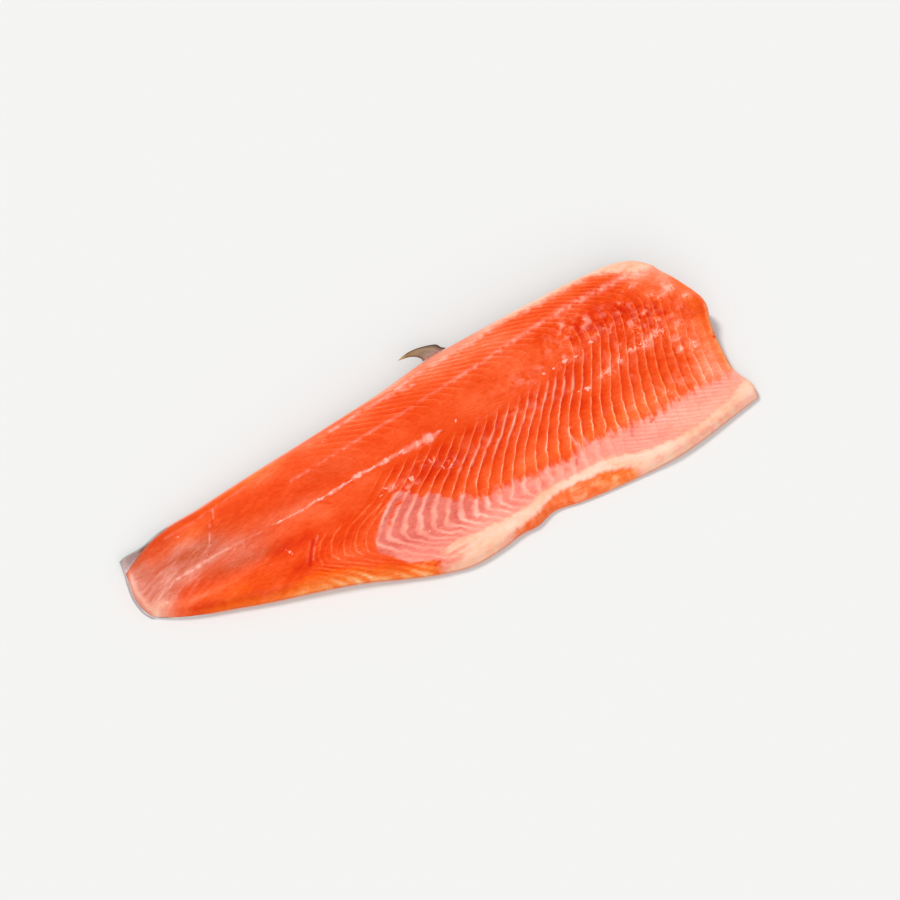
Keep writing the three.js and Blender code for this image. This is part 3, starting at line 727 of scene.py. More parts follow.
        # Orange tissue: in parts, at the tail, in the strip below the fat, and along the cuts.
        self.tail_belly = ease(-1, 3, self.belly_top - y + 2 * ragged) * self.span("tail belly")
        tail_back = ease(0, 2.5, y - curve(TAIL_BACK_LINE, x)) * self.span("tail back")
        orange = parts(x, y, ORANGE_PARTS) * (0.85 + 0.5 * ragged) + self.tail_belly + tail_back
        orange += mix(0.45, 0.8, self.along("orange strip")) * self.strip + self.spots
        orange += 0.7 * self.head_rim + 0.5 * self.tail_rim + 0.35 * belly_rim
        self.orange = np.clip(orange, 0, 1)
        # The hazy layer: dusky tissue with the tail's sheen painted into it
        haze_and_sheen = 1.1 * parts(x, y, HAZE_AND_SHEEN_PARTS) * (1 + 0.3 * self.streaks)
        self.haze_and_sheen = np.clip(haze_and_sheen + 0.9 * self.tail_back_rim, 0, 1)

    def find_marks(self):
        """Pale lines, patches and crumbs of membrane with painted glints, torn threads and dark lines, from
        0 to 1.
        """
        x, y, ragged = self.x, self.y, self.ragged
        half = curve(MIDLINE_STRIP_HALF, x) * (0.3 + 1.2 * self.patches("strip width"))
        strip = fade(0.3, 1.7, np.abs(y - curve(MIDLINE_STRIP, x) + 1.2 * ragged) / half)
        strip *= self.span("midline strip")
        feather = 0.6 * ease(0.5, 0.85, self.band) * fade(0.94, 1, self.band) * self.span("feathers")
        feather *= bell(y - curve(FEATHERS, x), 5.5) * np.clip(2 * self.patches("feathers") - 0.3, 0, 1)

        # Crumbs and holes lie at shifted places, which makes their outlines ragged.
        shifted_x = x + 2.6 * (self.patches("crumb shift along") - 0.5)
        shifted_y = y + 2.2 * (self.patches("crumb shift across") - 0.5)
        web = np.clip(parts(x, y, WEB_PARTS), 0, 1.3) * (1 - self.fat) * (1 - 0.6 * self.cavity)
        self.web = web * (0.3 + 1.3 * ease(0.3, 0.75, self.patches("web")))
        holes = cloud(shifted_x, shifted_y, *PATCHES["web holes"])
        threads = cloud(shifted_x, shifted_y, *PATCHES["web threads"])
        patches = np.clip(self.web, 0, 1) * ease(0.4, 0.75, 0.6 * holes + 0.4 * threads + 0.3 * ragged)
        self.pale = np.clip(np.maximum.reduce([
            self.drawn(PALE_LINES, 0.7) * (0.7 + 1.3 * ragged),
            np.clip(2 * self.streaks, 0, 1) * parts(x, y, WISP_PARTS),
            0.4 * strip,
            feather,
            0.5 * patches,
        ]), 0, 1)

        self.torn = np.clip(parts(x, y, TORN_PARTS), 0, 1)
        # Crumbs of membrane, some of them painted glints on the wet tops of the walls
        crumbs = parts(shifted_x, shifted_y, PALE_SPOTS_AND_GLINTS)
        crumbs = np.maximum(crumbs, strip * (0.12 + 0.75 * self.patches("strip crumbs")))
        crumbs += 1.5 * self.torn * np.clip(2.4 * self.patches("torn threads") - 1.9, 0, 1)
        self.crumbs = np.clip(crumbs, 0, 1)
        self.dark = self.drawn(DARK_LINES, 0.4) * ease(0.4, 1.2, self.to_head)

    def swing(self):
        """Tone swing across a band, with painted shade and highlight: most below the midline, less above it
        and at the ends.
        """
        reach = mix(2, -15, self.span("high bands"))
        swing = BELLY_SWING * self.span("belly bands") * ease(reach, reach + 8, self.below)
        swing *= mix(1, 0.62, self.along("weak bands")) * mix(1, 0.6, self.down("weak bands"))
        for strength, span, start, full in FAINT_BANDS:
            swing += strength * between(self.x, *span) * ease(start, full, self.below)
        bars = mix(0.42, 0.2, self.along("weak bars")) * mix(1, 0.5, self.down("weak bars"))
        bars *= 1 - 0.9 * self.along("bars end")
        swing = mix(swing, bars, self.cavity) * (1 - 0.8 * self.tail_belly)
        return swing * (1 - self.fat) * (1 - self.strip) * (0.45 + 1.1 * self.patches("band strength"))

    def tone(self):
        """How light the flesh is between its bands, from 0 to 1."""
        x, y, ragged = self.x, self.y, self.ragged
        cavity, fat = self.cavity, self.fat
        mesh = self.fine_and_coarse("mesh")
        broad = self.patches("broad") + 0.5 * self.patches("less broad") - 0.75
        tone = MUSCLE_TONE + parts(x, y, TONE_PARTS) + BROAD_TONE * broad
        tone += MESH_TONE * np.clip(parts(x, y, MESH_PARTS), 0, 1) * mesh
        tone += STREAK_TONE * self.along("tail streaks") * self.streaks

        # The membrane is lighter towards the head and low down, with fine lines near the head.
        membrane = MEMBRANE_TONE + 0.16 * broad + 0.26 * self.along("light membrane")
        membrane += 0.16 * self.down("low light membrane") * self.along("low light membrane")
        tone = mix(tone, membrane, cavity)
        lines = self.waves(0.33, 0.94, 1.2, "membrane line bends", LINE_SPACING)
        lines *= (0.2 + self.patches("membrane line strength")) * self.span("membrane lines")
        tone += LINE_TONE * lines * cavity

        tone = mix(tone, FAT_TONE + 0.2 * broad + 0.1 * mesh, fat)
        tone += 0.12 * bell(y - curve(FAT_BAND, x), 4) * fat * self.span("fat ridge")
        tone = mix(tone, STRIP_TONE + 0.35 * broad + 0.25 * mesh, self.strip)
        light_belly = self.tail_belly * ease(0, 6, self.belly_top - y)
        tone += mix(0.2, 0.24, self.along("light tail belly")) * light_belly
        lines = self.waves(0.5, 0.87, 1.4, "tail line bends", TAIL_LINE_SPACING)
        lines *= (0.3 + self.patches("tail line strength")) * self.span("tail lines")
        tone += LINE_TONE * lines * ease(-3, 2, self.belly_top + 2 - y) * (1 - fat) * (1 - cavity)

        # The rims and the cut at the head
        # The pale head rim is cut flesh and painted light: brightened against the shade of its rounded edge
        head_rim_tone = mix(HEAD_RIM_LIT_TONE, FAT_TONE, np.clip(1.3 * fat, 0, 1))
        tone = mix(tone, head_rim_tone, 0.8 * self.head_rim)
        tone = mix(tone, TAIL_BACK_RIM_TONE, 0.7 * self.tail_back_rim)
        tone = mix(tone, TAIL_RIM_TONE, 0.7 * self.tail_rim)
        cut_face = fade(0.3, 2, self.to_head + 0.5 * ragged)
        tone = mix(tone, np.minimum(tone, CUT_FACE_TONE + 0.3 * broad), cut_face)
        tone += 0.16 * self.spots
        # A painted sheen along the back rim, and painted light along the rounded belly rim towards the
        # tail, which turns from the lamps
        back_rim = fade(0.5, 4, self.to_back + ragged) * self.along("painted sheen on back rim")
        belly_rim = fade(0.3, 2.5, self.to_belly + ragged) * self.along("painted light on tail belly rim")
        tone += (0.22 * back_rim + 0.12 * belly_rim) * (1 - fat)
        for line in ARC_LINES:
            arc = strokes(x, y + 0.4 * ragged, ARC_WIDTH, line)
            tone += ARC_TONE * arc * (0.9 + 0.8 * ragged) * (1 - cavity)
        return tone - DARK_TONE * self.dark

    def zones(self):
        """What the material needs at each place."""
        return {
            "tone": self.tone(),
            "swing": self.swing(),
            "wall": self.wall,
            "orange": self.orange,
            "haze_and_sheen": self.haze_and_sheen,
            "cavity": self.cavity * (1 - self.fat) * (1 - self.strip),
            "fat": self.fat,
            "pale": self.pale * (1 - 0.5 * self.fat),
            "dark": self.dark * self.along("red lines"),
            "web": self.web,
            "crumb_and_glint": self.crumbs,
        }

    def relief(self):
        """Height of the fine relief, mm."""
        x, y = self.x, self.y
        rib = curve(RIB_PROFILE, self.band) - 0.5
        inside = ease(*RIB_ZONE_INSIDE, self.to_belly) * ease(0, RIB_ZONE_FADE, curve(RIB_ZONE_TOP, x) - y)
        above = ease(*BACK_RELIEF_ABOVE, -self.below)
        groove = bell(self.below, MIDLINE_GROOVE_WIDTH) * (0.2 + 0.5 * self.span("deep groove"))
        bead = bell(self.below, MIDLINE_BEAD_WIDTH) * self.span("beads") * (0.4 + self.patches("beads"))
        cavity = self.along("cavity step") * ease(0, CAVITY_STEP_WIDTH, curve(CAVITY_TOP, x) - y)
        fat_band = ease(*FAT_BAND_X, x) * bell(y - curve(FAT_BAND, x), FAT_BAND_WIDTH)
        swell = np.sin((x / SWELL_LENGTH) * np.pi + SWELL_LENGTH_START)
        swell *= np.sin((y / SWELL_WIDTH) * np.pi + SWELL_WIDTH_START)
        return (
            RIB_RELIEF * between(x, *RIB_ZONE_X) * inside * rib
            + BACK_RELIEF * self.span("back relief") * above * rib
            - MIDLINE_GROOVE * groove
            + MIDLINE_BEAD * bead
            - CAVITY_STEP * cavity
            + FAT_BAND_RELIEF * fat_band
            + SWELL * swell
            + PALE_RELIEF * (self.pale + 0.5 * self.crumbs)
            + TORN_RELIEF * self.torn * (self.patches("torn relief") - 0.5)
        )

    def top_height(self):
        x = self.x
        loin = loin_thickness(x)
        body = ease(*BODY_X, x)
        share = mix(curve(TAIL_SHARES, self.share), curve(BODY_SHARES, self.share), body)
        belly_round = mix(BELLY_ROUND, BELLY_ROUND_WIDE, between(x, *BELLY_WIDE_X))
        rounding = (
            rounded(self.to_back, BACK_ROUND_SHARE * loin)
            * rounded(self.to_belly, belly_round)
            * rounded(self.to_tail, TAIL_ROUND)
            * rounded(self.to_head, mix(HEAD_ROUND, HEAD_ROUND_AT_BACK, ease(*HEAD_ROUND_Y, self.y)))
        )
        under = under_height(x, self.y)
        return under + (loin * share + self.relief() - under) * rounding


def stations(start_zone, start_steps, even_steps, end_zone, end_steps):
    """Stations from 0 to 1: quarter circle steps near both ends, even steps between."""
    start, end = (1 - np.cos(np.arange(steps) / steps * (np.pi / 2)) for steps in (start_steps, end_steps))
    even = np.linspace(start_zone, 1 - end_zone, even_steps + 1)
    return np.concatenate([start_zone * start, even, 1 - end_zone * end[::-1]])


def make_object(name, points, faces):
    """A smooth-shaded mesh object from points in mm in the frame of the outline."""
    mesh = bpy.data.meshes.new(name)
    mesh.from_pydata((points * MM).tolist(), [], faces)
    mesh.polygons.foreach_set("use_smooth", np.ones(len(mesh.polygons), bool))
    mesh.update()
    piece = bpy.data.objects.new(name, mesh)
    bpy.context.scene.collection.objects.link(piece)
    return piece


def paint(piece, name, values):
    """Stores a number at every point of a piece for its material."""
    attribute = piece.data.attributes.new(name, "FLOAT", "POINT")
    attribute.data.foreach_set("value", np.asarray(values, np.float32))


def grid_faces(numbers, upwards):
    a, b = numbers[:-1, :-1], numbers[1:, :-1]
    c, d = numbers[1:, 1:], numbers[:-1, 1:]
    order = [a, b, c, d] if upwards else [d, c, b, a]
    return np.stack(order, -1).reshape(-1, 4).tolist()


def rim_of(numbers):
    """The border of a grid, once round, counter-clockwise seen from above."""
    return np.concatenate([
        numbers[:-1, 0], numbers[-1, :-1], numbers[:0:-1, -1], numbers[0, :0:-1],
    ]).tolist()


def make_flesh():
    us = stations(TAIL_ROUND / PATCH_LENGTH, END_STEPS, ROW_STEPS, HEAD_ROUND / PATCH_LENGTH, END_STEPS)
    vs = stations(BELLY_ZONE, BELLY_STEPS, COLUMN_STEPS, BACK_ZONE, BACK_STEPS)
    x, y = plan_grid(us, vs)
    face = Face(x, y)
    zones = face.zones()
    top = face.top_height()
    under = under_height(x, y)
    for rim in ((0, slice(None)), (-1, slice(None)), (slice(None), 0), (slice(None), -1)):
        top[rim] = under[rim]
    rows, columns = x.shape
    top_numbers = np.arange(rows * columns).reshape(rows, columns)
    points = np.stack([x, y, top], -1).reshape(-1, 3)
    faces = grid_faces(top_numbers, True)

    inner = np.zeros(x.shape, bool)
    inner[UNDERSIDE_STEP:-1:UNDERSIDE_STEP, UNDERSIDE_STEP:-1:UNDERSIDE_STEP] = True
    under_numbers = top_numbers.copy()
    under_numbers[1:-1, 1:-1] = -1
    under_numbers[inner] = rows * columns + np.arange(inner.sum())
    points = np.concatenate([points, np.stack([x[inner], y[inner], under[inner]], -1)])
    s = UNDERSIDE_STEP
    for i in range(0, rows - 1, s):
        for j in range(0, columns - 1, s):
            ring = rim_of(under_numbers[i:i + s + 1, j:j + s + 1])
            faces.append([n for n in reversed(ring) if n >= 0])
    piece = make_object("trout_flesh", points, faces)
    spare = np.zeros(int(inner.sum()))
    for name, values in zones.items():
        paint(piece, name, np.concatenate([values.ravel(), spare]))
    return piece


def skin_sheet(us, vs, distance):
    """The skin at a distance below the flesh, with the loose lip and flap at the tail."""
    x, y = plan_grid(us, vs)
    to_back = curve(BACK_EDGE, x) - y
    to_tail = x - curve(TAIL_CUT, y)
    radius = wrap_radius(x)
    slope = (curve(BACK_EDGE, x + 1) - curve(BACK_EDGE, x - 1)) / 2
    outwards = distance * (1 - np.clip(to_back / radius, 0, 1)) / np.hypot(1, slope)
    near_back = fade(0, FLAP_DEPTH, to_back)
    flap = near_back * fade(0, FLAP_LENGTH, to_tail)
    lip = TAIL_SKIN_LIP * (1 - FLAP_LIP_LOSS * near_back) * fade(0, LIP_BLEND, to_tail)
    z = under_height(x, y) - distance * rounded(to_back, radius) + FLAP_RISE * flap ** 3
    return np.stack([x - slope * outwards - lip, y + outwards + FLAP_OUT * flap, z], -1)


def make_skin():
    us = stations(TAIL_ROUND / PATCH_LENGTH, END_STEPS, SKIN_ROWS, HEAD_ROUND / PATCH_LENGTH, END_STEPS)
    vs = stations(BELLY_ZONE, BELLY_STEPS, SKIN_COLUMNS, BACK_ZONE, BACK_STEPS)
    inner = skin_sheet(us, vs, GAP)
    outer = skin_sheet(us, vs, SKIN_LEVEL)
    rows, columns = inner.shape[:2]
    inner_numbers = np.arange(rows * columns).reshape(rows, columns)
    outer_numbers = inner_numbers + rows * columns
    faces = grid_faces(inner_numbers, True) + grid_faces(outer_numbers, False)
    inner_rim, outer_rim = rim_of(inner_numbers), rim_of(outer_numbers)
    for k, corner in enumerate(inner_rim):
        last = k - 1
        faces.append([inner_rim[last], outer_rim[last], outer_rim[k], corner])
    points = np.concatenate([inner.reshape(-1, 3), outer.reshape(-1, 3)])
    piece = make_object("trout_skin", points, faces)
    share = np.broadcast_to(vs, (rows, columns)).ravel()
    paint(piece, "towards_back", np.concatenate([share, share]))
    paint(piece, "outside", np.repeat([0.0, 1.0], rows * columns))
    x, y = plan_grid(us, vs)
    to_belly = y - curve(BELLY_EDGE, x)
    from_sides = np.minimum(curve(BACK_EDGE, x) - y, to_belly) + NO_CUT_EDGE * ease(*TAIL_EDGE_X, x)
    from_edge = np.minimum(from_sides, curve(HEAD_CUT, y) - x)
    at_belly = fade(*BELLY_EDGE_REACH, to_belly) * ease(*BELLY_EDGE_X, x)
    inner_edge = fade(0, CUT_EDGE_INSIDE, from_edge)
    outer_edge = fade(0, mix(CUT_EDGE_OUTSIDE, PAINTED_LIGHT_EDGE_AT_BELLY, at_belly), from_edge)
    paint(piece, "cut_edge", np.concatenate([inner_edge.ravel(), outer_edge.ravel()]))
    lip = fade(0, LIP_WIDTH, x - curve(TAIL_CUT, y)) * fade(*LIP_END_Y, y)
    paint(piece, "lip", np.tile(lip.ravel(), 2))
    return piece


# ---------------------------------------------------------------- fin
FIN_UPPER = [(39, 66.9), (36.4, 68.2), (34.2, 71), (29, 72.3), (22, 73), (15, 72.3), (7.4, 69.6)]
FIN_LOWER = [(21.9, 64.5), (22, 65.6), (21, 66.9), (19.4, 68), (16.8, 69), (13.4, 69.5), (7.4, 69.6)]
FIN_THICKNESS = 1.2
FIN_ROOT_Z = 9.2
FIN_TIP_Z = 12.6
FIN_THINNING = 0.6
FIN_BLUNT_END = 0.985
FIN_ROUND_EDGE = 0.25
FIN_LEAST_HALF = 0.12
FIN_ROOT_SHARE = 0.2
FIN_ROOT_REACH = 0.12
FIN_STEPS = 60
FIN_BANDS = 20
FIN_RAYS = 9
FIN_RAY_RELIEF = 0.08


def make_fin():
    t = np.linspace(0, 1, FIN_STEPS + 1)[:, None]
    s = np.linspace(0, 1, FIN_BANDS + 1)[None, :]
    places = t * FIN_BLUNT_END * (len(FIN_UPPER) - 1)
    lower, upper = (
        [curve([(k, point[axis]) for k, point in enumerate(edge)], places) for axis in (0, 1)]
        for edge in (FIN_LOWER, FIN_UPPER)
    )
    x, y = (mix(low, high, s) for low, high in zip(lower, upper))
    middle = mix(FIN_ROOT_Z, FIN_TIP_Z, t) + 0 * s
    rays = FIN_RAY_RELIEF * np.cos(2 * np.pi * FIN_RAYS * s) * (1 - t)
    half = FIN_THICKNESS / 2 * (1 - FIN_THINNING * t) * rounded(np.minimum(s, 1 - s), FIN_ROUND_EDGE)
    half = np.maximum(half, FIN_LEAST_HALF)
    root_taper = mix(FIN_ROOT_SHARE, 1, ease(0, FIN_ROOT_REACH, t))
    above = np.stack([x, y, middle + (half + rays) * root_taper], -1)
    below = np.stack([x, y, middle - half], -1)
    rows, columns = x.shape
    above_numbers = np.arange(rows * columns).reshape(rows, columns)
    below_numbers = above_numbers + rows * columns
    faces = grid_faces(above_numbers, False) + grid_faces(below_numbers, True)
    above_rim, below_rim = rim_of(above_numbers), rim_of(below_numbers)
    for k, corner in enumerate(above_rim):
        last = k - 1
        faces.append([corner, below_rim[k], below_rim[last], above_rim[last]])
    points = np.concatenate([above.reshape(-1, 3), below.reshape(-1, 3)])
    piece = make_object("trout_back_fin", points, faces)
    paint(piece, "to_tip", np.tile(np.broadcast_to(t, x.shape).ravel(), 2))
    paint(piece, "across", np.tile(np.broadcast_to(s, x.shape).ravel(), 2))
    return piece


# ---------------------------------------------------------------- materials
# Wet flesh: the glare that its film of water adds, and how strongly the lamps light it
WET_GLARE = 0.009
LIGHT_LEVEL = 1.14
DARKEST_BASE = 0.003
LIGHTEST_BASE = 0.97

# Patterns of the flesh: sizes in mm, and how much each moves the tone or the walls
MOTTLE_SIZE = 2.4
MOTTLE_TONE = 0.22
MOTTLE_IN_WALLS = 0.16
FIBRE_WIDTH = 0.8
FIBRE_STRETCH = (0.14, 1, 1)
FIBRE_TILT = (0, 0, 0.12)
FIBRE_TONE = 0.3
MEAN_OF_NOISES = 0.5 * (MOTTLE_TONE + FIBRE_TONE)
THREAD_SPACING = 3.4
THREAD_TONE = 0.42
FRAY_SIZE = 1.3
FRAY_IN_WALLS = 0.11
FRAY_IN_CRUMBS_AND_GLINTS = 0.9
CRUMB_AND_GLINT_SHOWS = (0.78, 0.98)
CRUMB_AND_GLINT_COVER = 0.9
PROFILE_MEAN = 0.3
FLESH_BUMP = 0.2
FIBRE_BUMP_SHARE = 0.35

# Patterns of the skin and the fin, mm
SCALE_SIZE = 1.3
SCALE_BUMP = 0.1
PEARL_PATCH = 9
SPOT_SPACING = 7.5
SPOT_EDGE = (0.24, 0.17)
SPOTS_START = (0.5, 0.7)
SPOT_STRENGTH = 0.85
FIN_PATCH = 3
FIN_BUMP = 0.1

# Sockets of a node that mixes colours
FACTOR, COLOUR_A, COLOUR_B = 0, 6, 7
MIXED = 2


def linear(code, alpha=1.0):
    """An sRGB hex value as linear red, green, blue, alpha."""
    channels = [int(code[k:k + 2], 16) / 255 for k in (1, 3, 5)]
    return tuple(c / 12.92 if c <= 0.04045 else ((c + 0.055) / 1.055) ** 2.4 for c in channels) + (alpha,)


def wet(code):
    """The base colour that looks like a hex value on lit wet flesh, under the glare of its water."""
    lit = [(c - WET_GLARE) / LIGHT_LEVEL for c in linear(code)[:3]]
    return [min(max(c, DARKEST_BASE), LIGHTEST_BASE) for c in lit] + [1]


def add(tree, kind, inputs, **settings):
    """Adds a node, makes its settings, and sets or links its inputs."""
    made = tree.nodes.new(kind)
    for name, value in settings.items():
        setattr(made, name, value)
    for socket, value in inputs.items():
        if isinstance(value, bpy.types.NodeSocket):
            tree.links.new(value, made.inputs[socket])
        else:
            made.inputs[socket].default_value = value
    return made


def fill_ramp(ramp_node, stops, colour_of=linear):
    """Gives a colour ramp its stops, as pairs of place and hex value."""
    elements = ramp_node.color_ramp.elements
    while len(elements) > 1:
        elements.remove(elements[-1])
    elements[0].position, elements[0].color = stops[0][0], colour_of(stops[0][1])
    for place, code in stops[1:]:
        elements.new(place).color = colour_of(code)
    return ramp_node.outputs[0]


def new_material(name):
    material = bpy.data.materials.new(name)
    material.use_nodes = True
    tree = material.node_tree
    tree.nodes.clear()
    return material, tree


def per_mm(size):
    """Scale of a noise over places in metres, for patches of a size in mm."""
    return 1 / (size * MM)


def wet_raw_flesh():
    """Raw trout flesh, cut with a knife: wet, slightly clear muscle in bands, with pale walls between."""
    material, tree = new_material("wet_raw_trout_flesh")
    field = {
        name: add(tree, "ShaderNodeAttribute", {}, attribute_name=name).outputs["Fac"]
        for name in (
            "tone", "swing", "wall", "orange", "haze_and_sheen", "cavity", "fat", "pale", "dark", "web", "crumb_and_glint",
        )
    }
    place = add(tree, "ShaderNodeTexCoord", {}).outputs["Object"]

    # Mottling, and muscle fibres 5 mm long.
    mottle = add(tree, "ShaderNodeTexNoise", {
        "Vector": place, "Scale": per_mm(MOTTLE_SIZE), "Detail": 4, "Roughness": 0.6,
    }).outputs[0]
    stretched = add(tree, "ShaderNodeMapping", {
        "Vector": place, "Rotation": FIBRE_TILT, "Scale": FIBRE_STRETCH,
    }).outputs[0]
    fibres = add(tree, "ShaderNodeTexNoise", {
        "Vector": stretched, "Scale": per_mm(FIBRE_WIDTH), "Detail": 2,
    }).outputs[0]

    # Torn threads of membrane: winding lines 2 to 3 mm apart.
    winding = add(tree, "ShaderNodeTexNoise", {
        "Vector": place, "Scale": per_mm(THREAD_SPACING), "Detail": 2, "Roughness": 0.5, "Distortion": 0.5,
    }).outputs[0]
    threads = fill_ramp(add(tree, "ShaderNodeValToRGB", {0: winding}), [
        (0.38, "#606060"), (0.45, "#585858"), (0.485, "#FFFFFF"), (0.51, "#FFFFFF"), (0.54, "#303030"),
        (0.62, "#808080"),
    ])
    thready = add(tree, "ShaderNodeMath", {0: threads, 1: THREAD_TONE}, operation="MULTIPLY").outputs[0]

    # The walls between the bands waver by a few hundredths of their spacing.
    fray = add(tree, "ShaderNodeTexNoise", {
        "Vector": place, "Scale": per_mm(FRAY_SIZE), "Detail": 2,
    }).outputs[0]
    wall = field["wall"]
    for noise, amount in ((fray, FRAY_IN_WALLS), (mottle, MOTTLE_IN_WALLS)):
        wall = add(
            tree, "ShaderNodeMath", {0: noise, 1: amount, 2: wall}, operation="MULTIPLY_ADD"
        ).outputs[0]
    band = add(tree, "ShaderNodeMath", {0: wall}, operation="FRACT").outputs[0]

    # Each band is dark at its wall, lightens across, and ends in a pale line; membrane bars are softer.
    # The pale line is pale wall tissue with a painted highlight on its ridge; the dark start is partly
    # painted shade below the step.
    band_tone_and_shade = fill_ramp(add(tree, "ShaderNodeValToRGB", {0: band}), [
        (0, "#000000"), (0.08, "#1C1C1C"), (0.3, "#505050"), (0.6, "#848484"), (0.82, "#B4B4B4"),
        (0.9, "#FFFFFF"), (0.94, "#F8F8F8"), (0.98, "#303030"), (1, "#000000"),
    ])
    across_bar = fill_ramp(add(tree, "ShaderNodeValToRGB", {0: band}), [
        (0, "#B0B0B0"), (0.12, "#707070"), (0.3, "#181818"), (0.42, "#000000"), (0.55, "#585858"),
        (0.7, "#D0D0D0"), (0.82, "#FFFFFF"), (0.92, "#E8E8E8"), (1, "#B0B0B0"),
    ])
    profile = add(tree, "ShaderNodeMix", {
        FACTOR: field["cavity"], COLOUR_A: band_tone_and_shade, COLOUR_B: across_bar,
    }, data_type="RGBA").outputs[MIXED]
    centred = add(tree, "ShaderNodeMath", {0: profile, 1: PROFILE_MEAN}, operation="SUBTRACT").outputs[0]

    # The tone: that of the place, the band, the mottling and the fibres, and last the torn threads.
    tone = field["tone"]
    for share, amount in ((centred, field["swing"]), (mottle, MOTTLE_TONE), (fibres, FIBRE_TONE)):
        tone = add(
            tree, "ShaderNodeMath", {0: share, 1: amount, 2: tone}, operation="MULTIPLY_ADD"
        ).outputs[0]
    tone = add(tree, "ShaderNodeMath", {0: tone, 1: MEAN_OF_NOISES}, operation="SUBTRACT").outputs[0]
    tone = add(
        tree, "ShaderNodeMath", {0: thready, 1: field["web"], 2: tone}, operation="MULTIPLY_ADD"
    ).outputs[0]
    # Crumbs of membrane and painted glints
    crumbled = add(
        tree, "ShaderNodeMath", {0: fray, 1: FRAY_IN_CRUMBS_AND_GLINTS, 2: field["crumb_and_glint"]}, operation="MULTIPLY_ADD"
    ).outputs[0]
    field["crumbs_and_glints"] = add(tree, "ShaderNodeMapRange", {
        0: crumbled, 1: CRUMB_AND_GLINT_SHOWS[0], 2: CRUMB_AND_GLINT_SHOWS[1], 3: 0, 4: CRUMB_AND_GLINT_COVER,
    }).outputs[0]

    muscle = [
        (0, "#CF2F08"), (0.15, "#DD3A10"), (0.3, "#E6481E"), (0.45, "#EE582C"), (0.6, "#F6693E"),
        (0.75, "#FB7E58"), (0.9, "#FE9779"), (1, "#FFB09A"),
    ]
    layers = {
        "orange": [
            (0, "#CC3803"), (0.3, "#E24B0C"), (0.5, "#F3601D"), (0.7, "#FE7E38"), (0.85, "#FFA060"),
            (1, "#FFC79A"),
        ],
        # The hazy tissue, with a painted sheen
        "haze_and_sheen": [
            (0, "#A9421F"), (0.3, "#C45632"), (0.5, "#D2705A"), (0.7, "#DE8E7C"), (0.85, "#E8AC9A"),
            (1, "#F0CABB"),
        ],
        "cavity": [
            (0, "#C84E42"), (0.3, "#DC6A5C"), (0.5, "#EE8474"), (0.7, "#FA9D8A"), (0.85, "#FDAA98"),
            (1, "#FDBCAC"),
        ],
        "fat": [
            (0, "#F9804C"), (0.3, "#FBA882"), (0.5, "#FCC3A6"), (0.7, "#FDD2BC"), (0.9, "#FEE2D2"),
            (1, "#FFEDE2"),
        ],
        "pale": [(0, "#FF9E84"), (0.5, "#FFB4A0"), (1, "#FFCCBC")],
        "crumbs_and_glints": [(0.2, "#FFA694"), (0.5, "#FFB6A8"), (1, "#FFCCC0")],
        "dark": [(0, "#C8200C"), (1, "#E84030")],
    }
    colour = fill_ramp(add(tree, "ShaderNodeValToRGB", {0: tone}), muscle, wet)
    for mask, stops in layers.items():
        shade = fill_ramp(add(tree, "ShaderNodeValToRGB", {0: tone}), stops, wet)
        colour = add(tree, "ShaderNodeMix", {
            FACTOR: field[mask], COLOUR_A: colour, COLOUR_B: shade,
        }, data_type="RGBA").outputs[MIXED]

    relief = add(
        tree, "ShaderNodeMath", {0: fibres, 1: FIBRE_BUMP_SHARE, 2: mottle}, operation="MULTIPLY_ADD"
    ).outputs[0]
    bump = add(tree, "ShaderNodeBump", {
        "Height": relief, "Distance": FLESH_BUMP * MM, "Strength": 0.35,
    }).outputs[0]
    surface = add(tree, "ShaderNodeBsdfPrincipled", {
        "Base Color": colour,
        "Roughness": 0.42,
        "IOR": 1.34,
        "Specular IOR Level": 0.07,
        "Subsurface Weight": 0.2,
        "Subsurface Radius": (1.0, 0.35, 0.2),
        "Subsurface Scale": 1.4 * MM,
        "Coat Weight": 0.08,
        "Coat Roughness": 0.14,
        "Coat IOR": 1.33,
        "Normal": bump,
    })
    add(tree, "ShaderNodeOutputMaterial", {"Surface": surface.outputs[0]})
    return material


